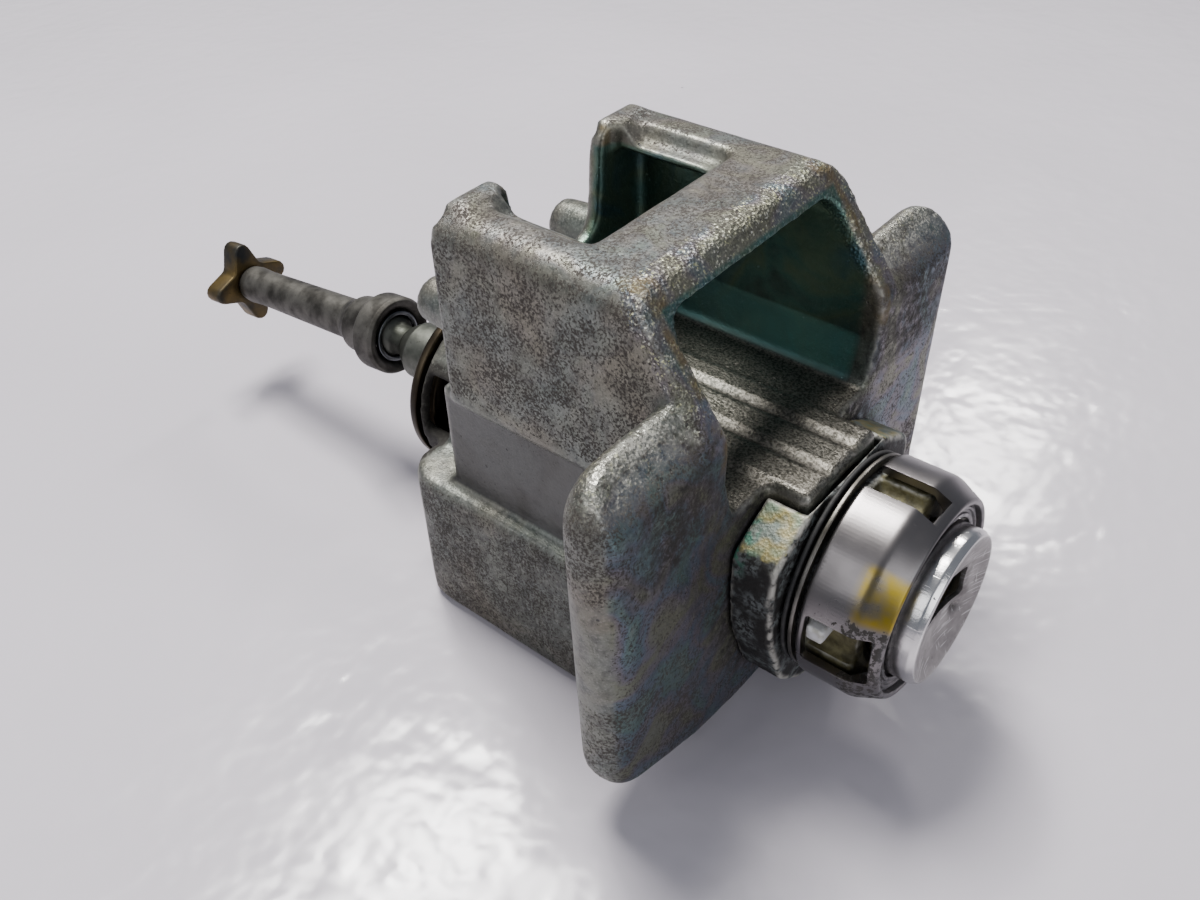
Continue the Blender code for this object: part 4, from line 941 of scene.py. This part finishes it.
class LOCK_OT_face(bpy.types.Operator):
    """Dished face with the key slot"""
    bl_idname = "lock.face"
    bl_label = "Face"

    def execute(self, context):
        sizes = settings("front")
        radius = sizes.face_radius / MM
        sag = sizes.dish / MM
        rim = span("face_plate")[0]
        reach = radius - 0.75
        bowl = (reach * reach + sag * sag) / (2 * sag)
        spread = math.asin(reach / bowl)
        outside = [(bowl * math.sin(spread * step / 24), rim + sag - bowl + bowl * math.cos(spread * step / 24))
                   for step in range(25)]
        inside = [(r * 0.95, y + 0.5) for r, y in reversed(outside)]
        edge = rounded([(reach, rim + 0.02, 0.0), (radius - 0.32, rim, 0.25), (radius, rim + 0.6, 0.5),
                        (radius, -0.5, 0.15), (radius - 0.4, -0.5, 0.1), (radius - 0.4, rim + 1.0,
                                                                          0.0)], 5, False)
        face = turned("face_shell", outside + [tuple(point) for point in edge[1:]] + inside, 160)
        half = sizes.slot_length / MM / 2
        tall = sizes.slot_height / MM / 2
        slot = rounded([(-half, -tall, 0.55), (half, -tall, 0.55), (half, tall, 0.55), (-half, tall, 0.55)], 4)
        front = rim - 1.0
        cutter = prism("key_slot", [(a, front, b) for a, b in slot], (0.0, 1.0 - front, 0.0))
        cut(face, [cutter])
        soften(face, 0.16, 3, 50.0)
        settle(face, [cutter], 45.0)
        mesh = face.data
        split_long_faces(mesh, FACE_EDGE_LENGTH)
        spots, normals = points_of(mesh)
        x, y, z = spots.T
        middle = Vector((3.3, 0.0, -3.0))
        dent = np.exp(-(((x - middle.x) / 0.9) ** 2 + ((z - middle.z) / 0.6) ** 2)) * ease(-normals[:, 1],
                                                                                           0.4, 0.8)
        move_points(mesh, spots + np.outer(dent, (0.0, 0.35, 0.0)))
        keep(mesh, "polished", ease(np.hypot(x, z), radius - 0.55, radius - 0.3))
        near_slot = between(np.abs(x), 0.0, half + 0.5, 0.4) * between(np.abs(z), 0.0, tall + 0.3, 0.4)
        keep(mesh, "stain", np.clip(0.5 * near_slot + dent, 0.0, 1.0))
        dress(face, "plug", "face_nickel", scratched_nickel(), "face_plate")
        return {'FINISHED'}


class LOCK_OT_inner_works(bpy.types.Operator):
    """Finishes of the solid pieces that stay as they are: plug, wafers, pins, clip and shutter"""
    bl_idname = "lock.inner_works"
    bl_label = "Inner works"

    def execute(self, context):
        brass = worn_metal("wafer_brass", (0.66, 0.53, 0.26), (0.46, 0.35, 0.15), (0.25, 0.42), 1200.0, 0.3)
        pin = worn_metal("pin_steel", (0.66, 0.66, 0.67), (0.42, 0.42, 0.43), (0.18, 0.32), 1200.0, 0.2)
        dark = worn_metal("dark_steel", (0.20, 0.20, 0.21), (0.09, 0.09, 0.10), (0.30, 0.50), 1000.0, 0.4)
        finishes = {"plug": brass, "shutter_pin": pin, "body_pin": pin, "cross_pin": pin,
                    "plug_clip": dark, "shutter_flap": dark}
        finishes.update({name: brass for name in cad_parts
                         if name.startswith("wafer_") and not name.startswith("wafer_spring")})
        for name, material in finishes.items():
            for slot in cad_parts[name].material_slots:
                slot.material = material
        return {'FINISHED'}


class LOCK_OT_springs(bpy.types.Operator):
    """Return spring, shutter spring and the small springs of the wafers"""
    bl_idname = "lock.springs"
    bl_label = "Springs"

    def execute(self, context):
        tree = wound_wire_tree()
        steel = worn_metal("spring_wire", (0.58, 0.58, 0.60), (0.34, 0.34, 0.35), (0.18, 0.34), 1500.0, 0.3)
        self.wind(tree, steel, "return_spring", "housing", 6.9, 0.55, 2.5, 48, 'Y')
        self.wind(tree, steel, "shutter_spring", "plug", 0.8, 0.13, 5.0, 20, 'X')
        for name in sorted(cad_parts):
            if name.startswith("wafer_spring_"):
                self.wind(tree, steel, name, "plug", 0.42, 0.12, 5.0, 16, 'X')
        return {'FINISHED'}

    @staticmethod
    def wind(tree, steel, node, body, coil, wire, turns, steps, axis):
        """Wind one spring where its solid lies."""
        low, high = (Vector(corner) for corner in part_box(node))
        way = {'X': 0, 'Y': 1}[axis]
        room = high[way] - low[way] - 2.2 * wire * MM
        spring = tree.make(node + "_wire", {
            "Material": steel, "Coil Radius": coil * MM, "Wire Radius": wire * MM, "Length": room,
            "Turns": turns, "Steps": steps})
        centre = (low + high) / 2
        centre[way] = low[way] + 1.1 * wire * MM
        if node == "return_spring":
            centre.x = 0.0
            centre.z = AXIS_HEIGHT
        stand(spring, (1.0, 0.0, 0.0) if axis == 'X' else (0.0, 1.0, 0.0), centre)
        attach(spring, body)
        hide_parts(node)


class LOCK_OT_driver(bpy.types.Operator):
    """Driver with its ball, and the cover on the rear barrel"""
    bl_idname = "lock.driver"
    bl_label = "Driver and cover"

    def execute(self, context):
        low, high = span("rear_cover")
        outer = (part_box("rear_cover")[1][0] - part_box("rear_cover")[0][0]) / MM / 2
        hole = 3.8
        flange = high - 1.2
        profile = rounded([(hole, low, 0.1), (8.5, low, 0.3), (8.5, flange, 0.1), (outer, flange, 0.2),
                           (outer, high, 0.5), (outer - 1.6, high, 0.4), (outer - 2.2, high - 0.35, 0.3),
                           (hole + 0.8, high - 0.35, 0.2), (hole + 0.5, high, 0.2), (hole, high, 0.15)], 4)
        plated = worn_metal("yellowed_cover", (0.07, 0.055, 0.035), (0.018, 0.015, 0.012), (0.28, 0.5),
                            500.0, 0.5)
        dress(turned("barrel_cover", profile, 160), "housing", "cover_steel", plated, "rear_cover")

        ball = BALL_RADIUS
        front = span("driver")[0] + 2.4
        centre = span("driver")[1] - ball
        neck = 1.9
        start = math.pi - math.asin(neck / ball)
        sphere = [(ball * math.sin(start * (1 - step / 22)), centre + ball * math.cos(start * (1 - step / 22)))
                  for step in range(23)]
        shaft = rounded([(0.0, front, 0.0), (8.2, front, 0.3), (8.2, front + 1.6, 0.3), (5.0, front + 1.6, 0.3),
                         (5.0, front + 5.4, 0.3), (3.6, front + 5.4, 0.3), (3.6, centre - 6.2, 0.7),
                         (2.6, centre - 4.6, 0.8), (neck, centre - 3.9, 0.4), (neck, centre - 2.3,
                                                                               0.0)], 4, False)
        driver = turned("driver_body", [tuple(point) for point in shaft] + sphere[1:], 96)
        blade = block("blade", (-4.0, front - 2.4, -1.0), (4.0, front + 0.5, 1.0))
        pin_hole = turned("pin_hole", [(0.0, -6.0), (1.35, -6.0), (1.35, 6.0), (0.0, 6.0)], 32,
                          Vector((0.0, 0.0, 0.0)))
        pin_hole.data.transform(Matrix.Translation((0.0, along(centre), AXIS_HEIGHT))
                                @ Matrix.Rotation(math.pi / 2, 4, 'Z'))
        join = driver.modifiers.new("blade", 'BOOLEAN')
        join.operation = 'UNION'
        join.solver = 'EXACT'
        join.object = blade
        cut(driver, [pin_hole])
        settle(driver, [blade, pin_hole], 40.0)
        zinc = worn_metal("driver_zinc", (0.15, 0.155, 0.135), (0.045, 0.048, 0.040), (0.36, 0.6), 1100.0, 0.5)
        dress(driver, "driver", "driver_zinc", zinc, "driver")
        return {'FINISHED'}


class LOCK_OT_tail(bpy.types.Operator):
    """Tail rod with its socket, ball keeper and star end"""
    bl_idname = "lock.tail"
    bl_label = "Tail"

    def execute(self, context):
        sizes = settings("tail")
        lean = sizes.droop
        ball_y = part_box("driver")[1][1] - BALL_RADIUS * MM
        centre = Vector((0.0, ball_y, AXIS_HEIGHT))
        ring, front, back, end, rod, thick = 4.9, -2.0, 1.5, 28.4, 2.4, 3.0
        profile = [tuple(point) for point in rounded([
            (ring - 0.75, front, 0.0), (ring - 0.3, front, 0.25), (ring, front + 0.5, 0.4), (ring,
                                                                                             back - 0.2, 0.4),
            (ring - 0.6, back, 0.3), (3.9, back + 0.1, 0.3), (3.6, back + 3.4, 0.6), (3.0, back + 4.4, 0.6),
            (rod + 0.25, back + 5.4, 0.8), (rod, end - 3.4, 1.0), (rod + 0.12, end - 1.2, 0.3), (rod, end, 0.3),
            (1.7, end, 0.1), (1.7, end + thick + 0.15, 0.2), (0.0, end + thick + 0.15, 0.0)], 4, False)]
        socket = 3.3
        hollow = [(socket * math.sin(math.radians(100.0 * step / 16)),
                   socket * math.cos(math.radians(100.0 * step / 16))) for step in range(17)]
        tail = turned("tail_body", profile + hollow + [(socket + 0.05, -1.35)], 96, centre, lean)
        steel = worn_metal("sintered_steel", (0.125, 0.12, 0.108), (0.038, 0.036, 0.032), (0.46, 0.68),
                           1500.0, 0.6,
                           bump=0.00005)
        dress(tail, "tail", "tail_steel", steel, "tail_rod")

        turns = [math.tau * step / 16 for step in range(16)]
        keeper = [(socket - 0.35 + 0.30 * math.cos(turn), -1.62 + 0.22 * math.sin(turn)) for turn in turns]
        bright = worn_metal("keeper_steel", (0.16, 0.17, 0.18), (0.06, 0.065, 0.07), (0.25, 0.4), 1200.0, 0.3)
        dress(turned("keeper_ring", keeper, 96, centre, lean), "tail", "pin_steel", bright, "ball_keeper")

        bronze = worn_metal("oily_bronze", (0.15, 0.105, 0.038), (0.030, 0.033, 0.034), (0.40, 0.62),
                            700.0, 0.7,
                            bump=0.00005)
        star = star_tree().make("star_body", {
            "Material": bronze, "Points": sizes.points, "Reach": sizes.star_radius, "Root": sizes.star_root,
            "Point Rounding": sizes.star_rounding, "Thickness": thick * MM})
        hole = turned("star_hole", [(0.0, -5.0), (2.0, -5.0), (2.0, 5.0), (0.0, 5.0)], 48, Vector((0.0,
                                                                                                   0.0, 0.0)))
        hole.data.transform(Matrix.Rotation(math.pi / 2, 4, 'X'))
        cut(star, [hole])
        soften(star, 0.3, 3, 50.0)
        settle(star, [hole], 40.0)
        axis = Matrix.Rotation(-lean, 3, 'X') @ Vector((0.0, 1.0, 0.0))
        quarter = Matrix.Rotation(math.pi / 2, 4, 'Z')
        star.data.transform(quarter)
        stand(star, axis, centre + axis * (end + 0.3) * MM)
        dress(star, "tail", "star_bronze", bronze, "star_driver")
        return {'FINISHED'}


class LOCK_OT_stage(bpy.types.Operator):
    """Floor, soft lights and camera"""
    bl_idname = "lock.stage"
    bl_label = "Stage"

    def execute(self, context):
        sizes = settings("stage")
        scene = context.scene
        bm = bmesh.new()
        bmesh.ops.create_grid(bm, x_segments=1, y_segments=1, size=FLOOR_HALF)
        bmesh.ops.translate(bm, vec=(0.0, 0.0, BASE - FLOOR_DROP), verts=bm.verts)
        floor = new_object("floor", bm)
        floor.data.materials.append(pale_floor(tuple(sizes.floor)))

        world = bpy.data.worlds.new("soft_room")
        world.use_nodes = True
        world.node_tree.nodes["Background"].inputs[0].default_value = ROOM_COLOUR
        world.node_tree.nodes["Background"].inputs[1].default_value = ROOM_STRENGTH
        scene.world = world
        for name, place, size, power, colour in LAMPS:
            self.lamp(name, place, size, power, colour)

        lens = bpy.data.cameras.new("camera")
        lens.lens = sizes.lens
        lens.sensor_width = 36.0
        lens.clip_start = 0.001
        lens.clip_end = 20.0
        camera = bpy.data.objects.new("camera", lens)
        camera.location = sizes.camera
        camera.rotation_euler = sizes.turn
        scene.collection.objects.link(camera)
        scene.camera = camera
        return {'FINISHED'}

    @staticmethod
    def lamp(name, place, size, power, colour):
        """Square soft light at a place."""
        light = bpy.data.lights.new(name, 'AREA')
        light.energy = power
        light.size = size
        light.color = colour
        lamp = bpy.data.objects.new(name, light)
        lamp.location = place
        lamp.rotation_euler = (Vector(LAMP_AIM) - Vector(place)).to_track_quat('-Z', 'Y').to_euler()
        bpy.context.scene.collection.objects.link(lamp)


OPERATORS = (LOCK_OT_casting, LOCK_OT_lock_body, LOCK_OT_front_rings, LOCK_OT_front_cap, LOCK_OT_face,
             LOCK_OT_inner_works, LOCK_OT_springs, LOCK_OT_driver, LOCK_OT_tail, LOCK_OT_stage)


class LOCK_PT_panel(bpy.types.Panel):
    """Settings and build steps of the lock cylinder"""
    bl_label = "Door Lock Cylinder"
    bl_idname = "LOCK_PT_panel"
    bl_space_type = 'VIEW_3D'
    bl_region_type = 'UI'
    bl_category = "Lock"

    def draw(self, context):
        for group, kind in SETTINGS.items():
            box = self.layout.box()
            box.label(text=kind.__doc__)
            for name in kind.__annotations__:
                box.prop(settings(group), name)
        for operator in OPERATORS:
            self.layout.operator(operator.bl_idname)


CLASSES = (*SETTINGS.values(), *OPERATORS, LOCK_PT_panel)


def register():
    for kind in CLASSES:
        bpy.utils.register_class(kind)
    for group, kind in SETTINGS.items():
        setattr(bpy.types.Scene, "lock_" + group, bpy.props.PointerProperty(type=kind))


def unregister():
    for group in SETTINGS:
        delattr(bpy.types.Scene, "lock_" + group)
    for kind in reversed(CLASSES):
        bpy.utils.unregister_class(kind)


def main():
    register()
    for operator in OPERATORS:
        group, name = operator.bl_idname.split(".")
        getattr(getattr(bpy.ops, group), name)()


if __name__ == "__main__":
    main()
